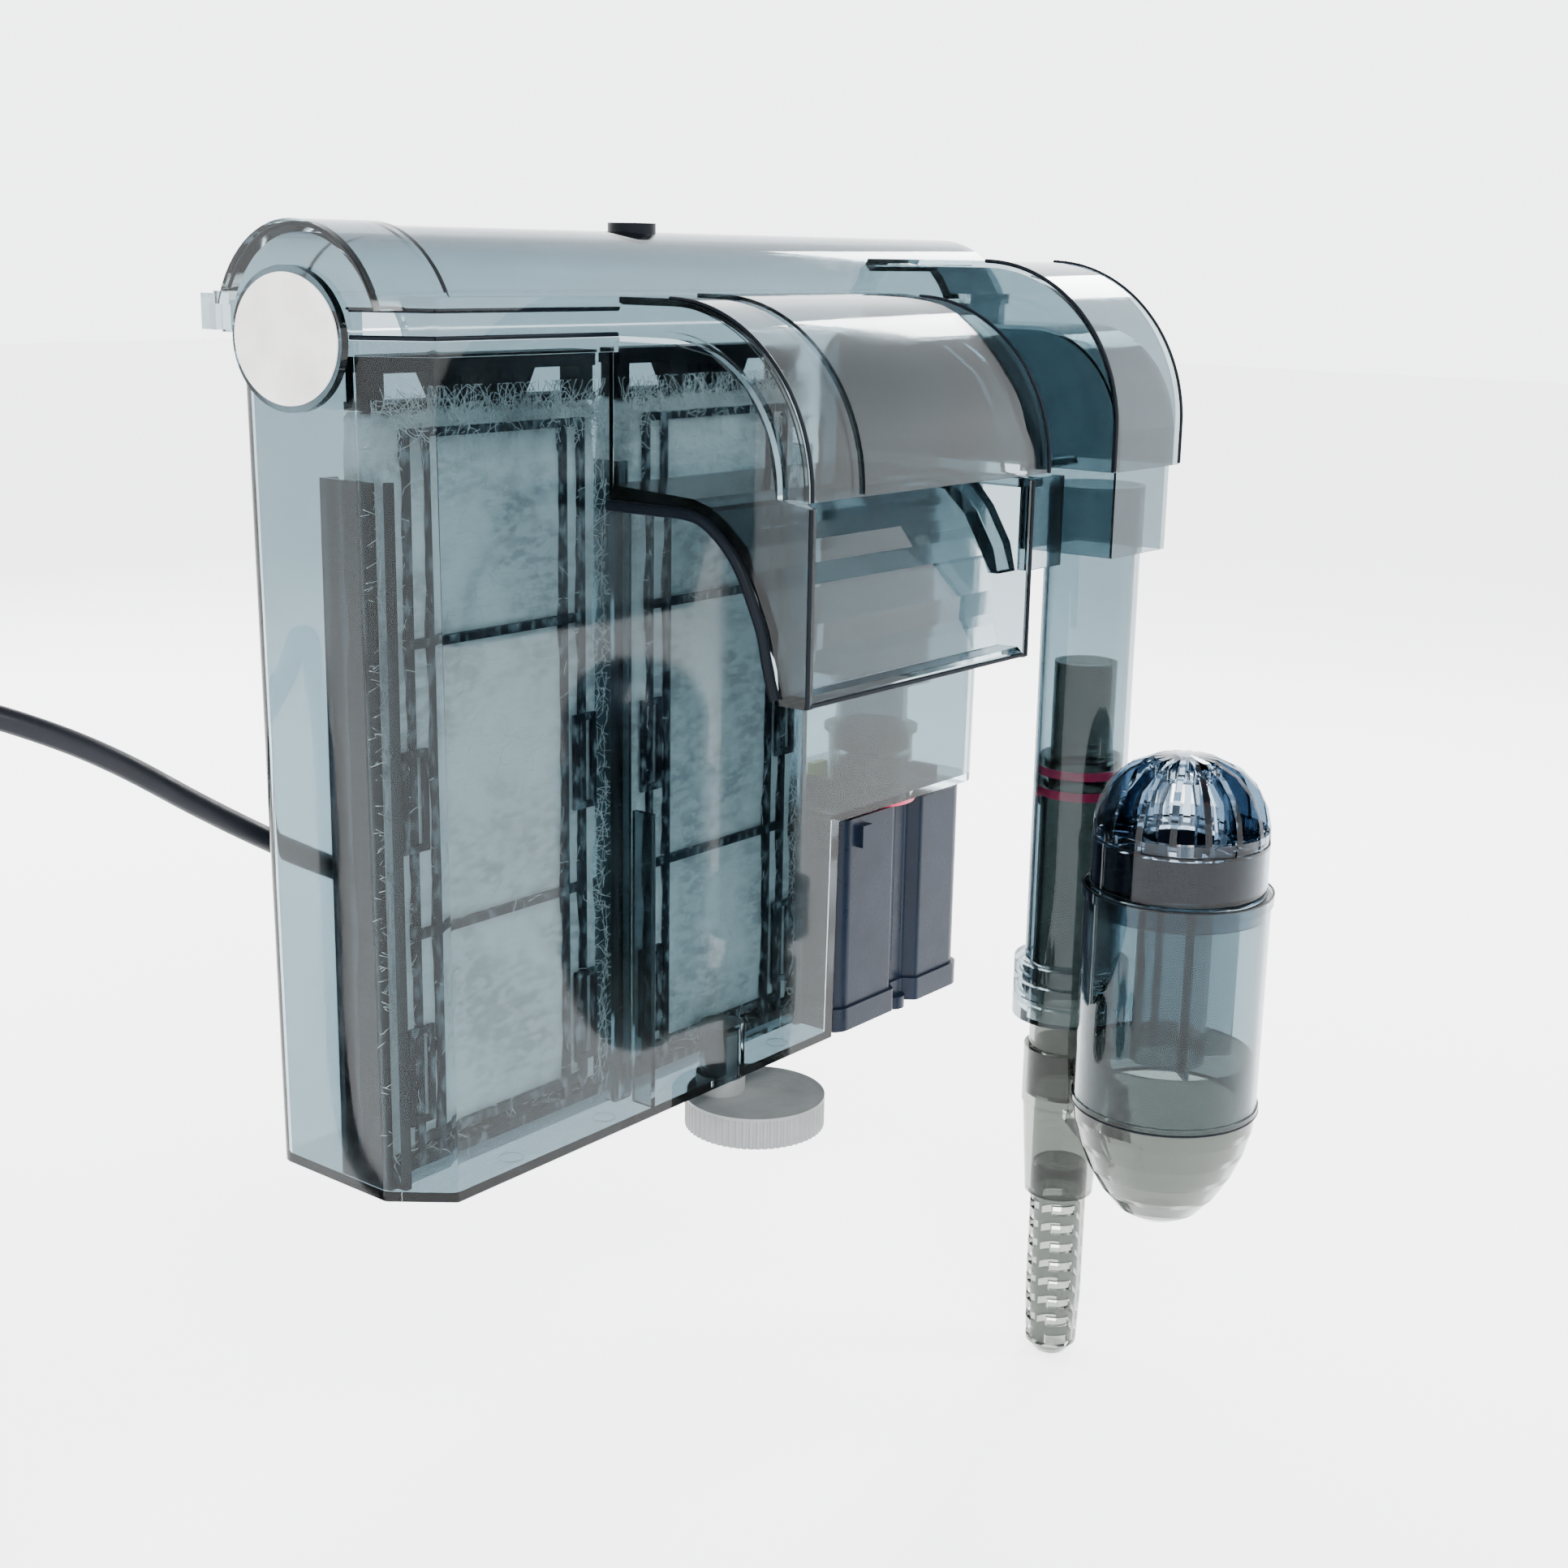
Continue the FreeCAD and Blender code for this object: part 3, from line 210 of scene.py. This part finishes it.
def clear_plastic(name, tint, edge, roughness=0.03):
    """Polished clear moulding: light passes with a tint, and grazing views are painted dark, a painted
    shade for the dark that internal reflection gives a cut edge.
    """
    made = Recipe(name)
    # Painted shade: at grazing views the colour turns to the edge colour, standing in for the dark of
    # internal reflection at the plastic's edges.
    facing = made.add("ShaderNodeLayerWeight")
    facing.inputs["Blend"].default_value = 0.45
    rim = made.ranged(facing.outputs["Facing"], 0.42, 0.88, 0.0, 1.0)
    cloud = made.ranged(made.noise(60.0), 0.35, 0.7, 0.0, 0.16)
    body = made.mixed(cloud, tint, tuple(0.8 * c for c in tint))
    colour = made.mixed(rim, body, edge)
    made.link(colour, made.shader.inputs["Base Color"])
    smear = made.ranged(made.noise(45.0, 5.0), 0.4, 0.75, roughness, roughness + 0.07)
    made.link(smear, made.shader.inputs["Roughness"])
    made.bump(made.noise(110.0, 2.0, (1, 1, 0.3)), 0.00002)
    made.put(IOR=1.27, Transmission_Weight=1.0, Specular_IOR_Level=0.32)
    passing = made.add("ShaderNodeBsdfTransparent")
    made.link(body, passing.inputs["Color"])
    ray = made.add("ShaderNodeLightPath")
    blend = made.add("ShaderNodeMixShader")
    made.link(ray.outputs["Is Shadow Ray"], blend.inputs["Fac"])
    made.link(made.shader.outputs["BSDF"], blend.inputs[1])
    made.link(passing.outputs["BSDF"], blend.inputs[2])
    made.link(blend.outputs["Shader"], made.output.inputs["Surface"])
    return made.material


def moulded(name, colour, roughness, grain=900.0, depth=0.00003, metal=0.0, gloss=0.5):
    """Opaque moulded or cast stuff with a fine grain and slightly uneven colour and gloss."""
    made = Recipe(name)
    shade = made.ranged(made.noise(70.0, 4.0), 0.3, 0.7, 0.0, 1.0)
    made.link(made.mixed(shade, tuple(0.82 * c for c in colour), tuple(min(1.14 * c, 1.0) for c in colour)),
              made.shader.inputs["Base Color"])
    made.link(made.ranged(made.noise(160.0, 4.0), 0.3, 0.7, roughness - 0.06, roughness + 0.08),
              made.shader.inputs["Roughness"])
    made.bump(made.noise(grain, 3.0), depth)
    made.put(Metallic=metal, Specular_IOR_Level=gloss)
    return made.material


def fuzzed_black(name):
    """Black moulding with wisps of floss caught over it."""
    made = Recipe(name)
    wisps = made.ranged(made.noise(420.0, 6.0, (1, 1, 0.45)), 0.50, 0.70, 0.0, 0.6)
    made.link(made.mixed(wisps, (0.012, 0.017, 0.024), (0.45, 0.5, 0.52)), made.shader.inputs["Base Color"])
    made.link(made.ranged(wisps, 0.0, 0.5, 0.38, 0.9), made.shader.inputs["Roughness"])
    made.bump(made.noise(500.0, 4.0), 0.0001)
    made.put(Specular_IOR_Level=0.05)
    return made.material


def floss_material():
    """Bonded polyester fibre: white with thin and dense patches and a fine tangled grain."""
    made = Recipe("floss")
    patches = made.ranged(made.noise(55.0, 8.0), 0.38, 0.62, 0.0, 1.0)
    fibres = made.ranged(made.noise(420.0, 12.0, (0.5, 1, 1)), 0.44, 0.58, 0.0, 1.0)
    ground = made.mixed(patches, (0.52, 0.52, 0.50), (0.93, 0.92, 0.89))
    made.link(made.mixed(made.ranged(fibres, 0.0, 1.0, 0.0, 0.6), ground, (0.98, 0.97, 0.95)),
              made.shader.inputs["Base Color"])
    made.bump(made.noise(900.0, 9.0, (0.4, 1, 1)), 0.0006)
    made.put(Roughness=0.95, Sheen_Weight=0.5, Sheen_Roughness=0.6)
    return made.material


# The edge colours are painted shade, laid on at grazing views for the dark of internal reflection.
TEAL_TINT, NAVY_EDGE_SHADE = (0.30, 0.372, 0.40), (0.005, 0.012, 0.032)
DEEP_TINT = (0.24, 0.31, 0.38)
GREY_TINT, GREY_EDGE_SHADE = (0.22, 0.235, 0.22), (0.035, 0.04, 0.035)


def make_materials():
    return {
        # The second colour given to each clear plastic is its painted edge shade.
        "clear_blue": clear_plastic("clear_blue", TEAL_TINT, NAVY_EDGE_SHADE),
        "clear_grey": clear_plastic("clear_grey", GREY_TINT, GREY_EDGE_SHADE, 0.05),
        "smoke_plastic": clear_plastic("smoke_plastic", (0.055, 0.062, 0.07), (0.01, 0.015, 0.025), 0.08),
        "deep_blue": clear_plastic("deep_blue", DEEP_TINT, NAVY_EDGE_SHADE),
        "fuzzed_plastic": fuzzed_black("fuzzed_plastic"),
        "black_plastic": moulded("black_plastic", (0.003, 0.0045, 0.007), 0.38, 600.0, 0.00005, gloss=0.06),
        "label": moulded("label", (0.60, 0.57, 0.55), 0.62, 1500.0, 0.00002),
        "floss": floss_material(),
        "slate_plastic": moulded("slate_plastic", (0.005, 0.009, 0.018), 0.30, 700.0, 0.00003, gloss=0.12),
        "steel": moulded("steel", (0.45, 0.45, 0.46), 0.4, 600.0, 0.00005, 1.0),
        "copper": moulded("copper", (0.62, 0.27, 0.13), 0.35, 900.0, 0.0001, 1.0),
        "red_silicone": moulded("red_silicone", (0.62, 0.015, 0.09), 0.4, 900.0, 0.00003),
        "black_rubber": moulded("black_rubber", (0.010, 0.012, 0.015), 0.5, 1100.0, 0.00005, gloss=0.2),
        "ceramic": moulded("ceramic", (0.80, 0.80, 0.76), 0.2),
        "magnet": moulded("magnet", (0.05, 0.05, 0.055), 0.5, 1400.0, 0.0001, 0.4),
        "white_plastic": moulded("white_plastic", (0.75, 0.76, 0.77), 0.35),
        "lime_plastic": moulded("lime_plastic", (0.48, 0.58, 0.06), 0.35),
        "dark_foam": moulded("dark_foam", (0.003, 0.005, 0.011), 0.55, 800.0, 0.0001, gloss=0.05),
        "grey_plastic": moulded("grey_plastic", (0.15, 0.16, 0.16), 0.48, 800.0, 0.00005),
        "cord_black": moulded("cord_black", (0.006, 0.007, 0.010), 0.40, 700.0, 0.00006, gloss=0.15),
        "plated_brass": moulded("plated_brass", (0.72, 0.70, 0.66), 0.22, 900.0, 0.00001, 1.0),
    }


materials = make_materials()


def dress_nodes():
    """Every CAD node takes the material that its slot names."""
    for entry in frame["record"]["subparts"]:
        piece = nodes[entry["node"]]
        piece.data.materials.clear()
        piece.data.materials.append(materials[entry["material_slot"]])


dress_nodes()
nodes["skimmer_cap"].data.materials[0] = materials["deep_blue"]     # its fins are thicker, so darker


def finish_piece(name, mesh_builder, body, slot):
    """Turn a bmesh into a piece that rides on a body."""
    mesh = bpy.data.meshes.new(name)
    mesh_builder.to_mesh(mesh)
    mesh_builder.free()
    piece = bpy.data.objects.new(name, mesh)
    bpy.context.collection.objects.link(piece)
    mesh.materials.append(materials[slot])
    for face in mesh.polygons:
        face.use_smooth = True
    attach(piece, body)
    return piece


def loft(name, rings, body, slot):
    """A closed skin over rings of equally many points."""
    builder = bmesh.new()
    loops = [[builder.verts.new(point) for point in ring] for ring in rings]
    count = len(loops[0])
    for here, after in zip(loops, loops[1:]):
        for i in range(count):
            k = (i + 1) % count
            builder.faces.new((here[i], here[k], after[k], after[i]))
    builder.faces.new(loops[0][::-1])
    builder.faces.new(loops[-1])
    bmesh.ops.recalc_face_normals(builder, faces=builder.faces)
    return finish_piece(name, builder, body, slot)


def add_strain_boot():
    """The tapered rubber boot where the lead leaves the gland, with cut rings that let it flex."""
    low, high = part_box("strain_relief")
    middle = (low + high) / 2
    length, thick, thin, cut = high.x - low.x, (high.z - low.z) / 2, 4.0 * MM, 0.75 * MM
    cuts = 9
    rings, around, steps = [], 32, 60
    for step in range(steps + 1):
        share = step / steps
        radius = thick + (thin - thick) * share
        if 0.12 < share < 0.88 and (share * cuts) % 1.0 > 0.5:
            radius -= cut
        x = high.x - length * share
        rings.append([Vector((x, middle.y + radius * math.cos(2 * math.pi * i / around),
                              middle.z + radius * math.sin(2 * math.pi * i / around)))
                      for i in range(around)])
    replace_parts(loft("strain_boot", rings, "root", "black_rubber"), "strain_relief")


PLUG_NECK, PLUG_BODY = (5.0 * MM, 4.2 * MM), (12.9 * MM, 6.4 * MM)      # half width and half height


def add_plug():
    """A flat two-pin plug: a rounded body that narrows to the lead, with finger grooves on its sides."""
    low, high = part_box("plug_body")
    middle = (low + high) / 2
    groove, pitch, rounding = 0.6 * MM, 0.08, 0.5 * MM
    rings, around, steps = [], 48, 72
    for step in range(steps + 1):
        share = step / steps
        full = min(share * share * (3 - 2 * share) * 1.7, 1.0)
        wide, tall = (neck + (body - neck) * full for neck, body in zip(PLUG_NECK, PLUG_BODY))
        if 0.45 < share < 0.85:
            wide -= groove * (1 + math.cos(2 * math.pi * (share - 0.45) / pitch)) / 2
        if share > 0.97:
            wide, tall = wide - rounding, tall - rounding
        ring = []
        for i in range(around):
            a = 2 * math.pi * i / around
            c, d = math.cos(a), math.sin(a)
            ring.append(Vector((middle.x + wide * math.copysign(abs(c) ** 0.5, c),
                                high.y - (high.y - low.y) * share,
                                middle.z + tall * math.copysign(abs(d) ** 0.5, d))))
        rings.append(ring)
    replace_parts(loft("plug_shell", rings, "root", "cord_black"), "plug_body")


add_strain_boot()
add_plug()
add_cord(materials["cord_black"])

# ---------------------------------------------------------------- floss pads
STEP = 1.3 * MM                             # the pads' mesh
FRAME_BARS = (0.02, 0.315, 0.71, 0.982)     # where the frame's bars cross a pad, as shares of its height
FIBRES, FIBRE_RADIUS, FIBRE_STEP = 1700, 0.09, 1.7      # radius and step in mm


def add_floss(number):
    """A floss slab pressed in where the frame's bars cross it and swollen between them."""
    low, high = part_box("floss_pad_%d" % number)
    wide, tall = high.x - low.x, high.z - low.z
    columns, rows = round(wide / STEP), round(tall / STEP)
    bars = [low.z + share * tall for share in FRAME_BARS]
    builder = bmesh.new()
    sheets = []
    for side, face in ((-1, low.y), (1, high.y)):
        grid = []
        for row in range(rows + 1):
            line = []
            for column in range(columns + 1):
                x = low.x + wide * column / columns
                z = low.z + tall * row / rows
                border = min(x - low.x, high.x - x, z - low.z, high.z - z)
                tuck = 4.0 * MM * (1 - min(border / (3.0 * MM), 1.0)) ** 2
                near = min(abs(z - bar) for bar in bars)
                swell = 1.1 * MM * min(near / (12.0 * MM), 1.0)
                rough = noise.fractal(Vector((x, number + side, z)) * 90, 1.0, 2.0, 4) * 0.55 * MM
                wander = Vector((noise.noise(Vector((z * 260, side, number))), 0,
                                 noise.noise(Vector((x * 260, side, number + 7)))))
                loose = 1.6 * MM if border < 0.5 * MM else 0.0
                y = face + side * (swell * 0.9 + rough - tuck - 0.3 * MM)
                line.append(builder.verts.new(Vector((x, y, z)) + wander * loose))
            grid.append(line)
        sheets.append(grid)
    front, back = sheets
    for row in range(rows):
        for column in range(columns):
            a, b = front[row][column:column + 2], front[row + 1][column:column + 2]
            builder.faces.new((a[0], a[1], b[1], b[0]))
            a, b = back[row][column:column + 2], back[row + 1][column:column + 2]
            builder.faces.new((a[1], a[0], b[0], b[1]))
    rim = [(0, c) for c in range(columns)] + [(r, columns) for r in range(rows)]
    rim += [(rows, c) for c in range(columns, 0, -1)] + [(r, 0) for r in range(rows, 0, -1)]
    for (r0, c0), (r1, c1) in zip(rim, rim[1:] + rim[:1]):
        builder.faces.new((front[r1][c1], front[r0][c0], back[r0][c0], back[r1][c1]))
    body = "cartridge_%d" % number
    pad = finish_piece("floss_%d" % number, builder, body, "floss")
    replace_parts(pad, "floss_pad_%d" % number)
    add_fibres(number, low, high, body)


def add_fibres(number, low, high, body):
    """Loose fibres that stand off the pad's edges and lie over the frame."""
    dice = random.Random(40 + number)
    data = bpy.data.curves.new("fibres_%d" % number, "CURVE")
    data.dimensions = "3D"
    data.bevel_depth = FIBRE_RADIUS * MM
    data.bevel_resolution = 0
    for _ in range(FIBRES):
        edge = dice.random()
        if edge < 0.4:
            start = Vector((dice.uniform(low.x, high.x), 0, high.z - dice.uniform(0, 5) * MM))
        elif edge < 0.75:
            start = Vector((dice.choice((low.x, high.x)), 0, dice.uniform(low.z, high.z)))
            start.x += dice.uniform(-1, 1) * 5 * MM
        else:
            start = Vector((dice.uniform(low.x, high.x), 0, dice.uniform(low.z, high.z)))
        start.y = low.y - dice.uniform(0.2, 1.8) * MM
        angle = dice.uniform(0, 2 * math.pi)
        spline = data.splines.new("POLY")
        count = dice.randint(4, 8)
        spline.points.add(count - 1)
        place = start
        for point in spline.points:
            point.co = (*place, 1.0)
            angle += dice.uniform(-0.7, 0.7)
            ahead = Vector((math.cos(angle), dice.uniform(-0.2, 0.2), math.sin(angle)))
            place = place + ahead * FIBRE_STEP * MM
            place.x = min(max(place.x, low.x - 1.0 * MM), high.x + 1.0 * MM)
            place.z = min(place.z, high.z + 6 * MM)
    fibres = bpy.data.objects.new("fibres_%d" % number, data)
    bpy.context.collection.objects.link(fibres)
    data.materials.append(materials["floss"])
    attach(fibres, body)


for cartridge in (1, 2):
    add_floss(cartridge)


# ---------------------------------------------------------------- small moulded detail and painted edge shade
def add_rings(name, body, slot, centres, radius, thick):
    """Fine flat witness rings of one radius round each centre."""
    builder = bmesh.new()
    around, section = 40, 6
    for centre in centres:
        loops = []
        for i in range(around):
            a = 2 * math.pi * i / around
            loop = []
            for j in range(section):
                b = 2 * math.pi * j / section
                reach = radius + thick * math.cos(b)
                point = Vector((reach * math.cos(a), reach * math.sin(a), thick * math.sin(b)))
                loop.append(builder.verts.new(point + centre))
            loops.append(loop)
        for i in range(around):
            here, after = loops[i], loops[(i + 1) % around]
            for j in range(section):
                k = (j + 1) % section
                builder.faces.new((here[j], after[j], after[k], here[k]))
    return finish_piece(name, builder, body, slot)


def add_witness_marks():
    """Three fine ejector marks on the inside of the box's floor."""
    low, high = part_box("filter_box")
    floor = low.z + 2.05 * MM
    centres = [Vector((low.x + share * (high.x - low.x), low.y + 9 * MM, floor))
               for share in (0.16, 0.3, 0.6)]
    add_rings("floor_marks", "root", "clear_blue", centres, 3.2 * MM, 0.12 * MM)


add_witness_marks()


def add_edges(name, body, slot, radius, routes):
    """Rounded edge beads, each along a route of stations measured from the box's bottom front corner."""
    data = bpy.data.curves.new(name, "CURVE")
    data.dimensions = "3D"
    data.resolution_u = 6
    for route in routes:
        spline = data.splines.new("NURBS" if len(route) > 2 else "POLY")
        spline.points.add(len(route) - 1)
        for point, place in zip(spline.points, route):
            point.co = (*((Vector(place) - SEAT) * MM), 1.0)
        spline.order_u = 3
        spline.use_endpoint_u = True
    data.bevel_depth = radius
    data.bevel_resolution = 2
    data.use_fill_caps = True
    beads = bpy.data.objects.new(name, data)
    bpy.context.collection.objects.link(beads)
    data.materials.append(materials[slot])
    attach(beads, body)


def arc(x, centre_y, centre_z, radius, first, last):
    """Stations round part of a circle that stands across the lid; angles in degrees from +Y up."""
    steps = 20
    turns = [math.radians(first + (last - first) * i / steps) for i in range(steps + 1)]
    return [(x, centre_y + radius * math.cos(a), centre_z + radius * math.sin(a)) for a in turns]


HOOD = (-20.4, 180.0, 45.0)                 # the hood's and the cowl's arcs: Y, Z and radius
COWL = (-33.0, 190.0, 45.0)
SPOUT_LEFT, SPOUT_RIGHT = 56.5, 155.7
SKIMMER = (180.2, -103.4)


def add_spout_edge_shade():
    """Painted shade: black beads along the edge of the spout's near cheek, and along the two sides and the
    foot of its outer end, where the clear plastic looks dark by refraction.
    """
    outline = [(0.0, 172.9), (-16.0, 173.0), (-27.0, 173.0), (-32.6, 171.4), (-38.4, 167.2), (-43.6, 161.6),
               (-47.4, 154.0), (-51.4, 145.4), (-52.8, 137.4), (-55.4, 129.9)]
    near, far = SPOUT_LEFT, SPOUT_RIGHT
    add_edges("spout_cheek_shade", "root", "black_plastic", 1.5 * MM, [[(near - 0.3, y, z) for y, z in outline]])
    add_edges("spout_end_shade", "root", "black_plastic", 0.6 * MM, [
        [(near + 0.3, -64.9, 177.4), (near + 0.3, -64.9, 129.0)],
        [(near + 0.3, -64.6, 129.4), (far - 0.3, -64.6, 129.4)],
        [(far - 0.3, -64.9, 177.4), (far - 0.3, -64.9, 129.0)],
    ])


def add_lid_corner_shade():
    """Painted shade: black beads along the lid's rounded corners, which stand for the dark that internal
    reflection gives the clear plastic there.
    """
    routes = [arc(x, 28.5, 212.5, 28.4, 28, 152) for x in (-17.2, 4.5)]
    for z in (215.8, 222.0):
        routes += [[(-17.3, 11.7, z), (-5.1, -3.3, z)], [(-5.1, -3.3, z), (56.2, -3.3, z)]]
    routes += [arc(x, *HOOD, 90, 180) + [(x, -65.4, 179.0)] for x in (56.4, 162.5)]
    routes += [arc(x, *COWL, 90, 180) + [(x, -78.0, 179.4)] for x in (176.2, 212.8)]
    add_edges("lid_corner_shade_beads", "lid", "black_plastic", 0.55 * MM, routes)


def ring(centre, z, radius):
    """Stations round a level circle, its end laid over its start."""
    turns = [math.radians(10 * i) for i in range(38)]
    return [(centre[0] + radius * math.cos(a), centre[1] + radius * math.sin(a), z) for a in turns]


def add_skimmer_lines():
    """Dark joints of the skimmer: the cylinder's two ridges and the two ends of the head's band."""
    low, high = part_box("skimmer_body")
    ridge = (high.x - low.x) / 2 / MM
    add_edges("skimmer_lines", "skimmer", "black_plastic", 0.35 * MM,
              [ring(SKIMMER, z, ridge - 0.25) for z in (64.6, -0.3)])
    add_edges("head_lines", "skimmer_head", "black_plastic", 0.3 * MM,
              [ring(SKIMMER, z, 24.55) for z in (79.2, 65.5)])


add_spout_edge_shade()
add_lid_corner_shade()
add_skimmer_lines()


# ---------------------------------------------------------------- stage, light
SKY_STRENGTH, FLOOR_GLOW = 4.6, 2.4
SKY_LOW, SKY_HIGH = (0.97, 0.985, 1.0), (0.10, 0.108, 0.12)


def add_area(name, place, target, size, power, colour=(1, 1, 1)):
    data = bpy.data.lights.new(name, "AREA")
    data.shape = "RECTANGLE"
    data.size, data.size_y = size
    data.energy = power
    data.color = colour
    lamp = bpy.data.objects.new(name, data)
    lamp.location = place
    lamp.rotation_euler = (Vector(target) - Vector(place)).to_track_quat("-Z", "Y").to_euler()
    bpy.context.collection.objects.link(lamp)


def light_sky(tree):
    """White near the horizon, falling to a dark grey overhead, which the tops of the mouldings mirror."""
    sky = tree.nodes["Background"]
    sky.inputs["Strength"].default_value = SKY_STRENGTH
    place = tree.nodes.new("ShaderNodeTexCoord")
    split = tree.nodes.new("ShaderNodeSeparateXYZ")
    tree.links.new(place.outputs["Generated"], split.inputs["Vector"])
    height = tree.nodes.new("ShaderNodeMapRange")
    height.inputs["From Min"].default_value = 0.25
    height.inputs["From Max"].default_value = 0.85
    tree.links.new(split.outputs["Z"], height.inputs["Value"])
    blend = tree.nodes.new("ShaderNodeMix")
    blend.data_type = "RGBA"
    blend.inputs["A"].default_value = (*SKY_LOW, 1.0)
    blend.inputs["B"].default_value = (*SKY_HIGH, 1.0)
    tree.links.new(height.outputs["Result"], blend.inputs["Factor"])
    tree.links.new(blend.outputs["Result"], sky.inputs["Color"])


def add_stage():
    """A pale floor that glows a little, a soft sky and four area lights."""
    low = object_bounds()[0]
    builder = bmesh.new()
    bmesh.ops.create_grid(builder, x_segments=2, y_segments=2, size=6.0)
    mesh = bpy.data.meshes.new("floor")
    builder.to_mesh(mesh)
    builder.free()
    floor = bpy.data.objects.new("floor", mesh)
    floor.location.z = low[2] - 0.0004
    bpy.context.collection.objects.link(floor)
    paper = Recipe("floor")
    paper.put(Roughness=0.9, Emission_Color=(1.0, 1.0, 1.0, 1.0), Emission_Strength=FLOOR_GLOW)
    paper.link(paper.mixed(paper.ranged(paper.noise(3.0), 0.3, 0.7, 0.0, 1.0), (0.86, 0.86, 0.86),
                           (0.88, 0.88, 0.88)), paper.shader.inputs["Base Color"])
    mesh.materials.append(paper.material)
    world = bpy.data.worlds.new("world")
    bpy.context.scene.world = world
    world.use_nodes = True
    light_sky(world.node_tree)
    centre = (0.0, 0.0, -0.05)
    add_area("key", (-0.9, -1.1, 1.1), centre, (0.7, 0.5), 24)
    add_area("side", (0.75, -0.95, 0.75), centre, (0.35, 0.5), 12)
    add_area("window", (1.15, 0.24, 0.62), (0.08, -0.05, 0.05), (0.30, 0.40), 14)
    add_area("back", (0.2, 1.3, 0.6), centre, (1.2, 0.8), 30)


add_stage()
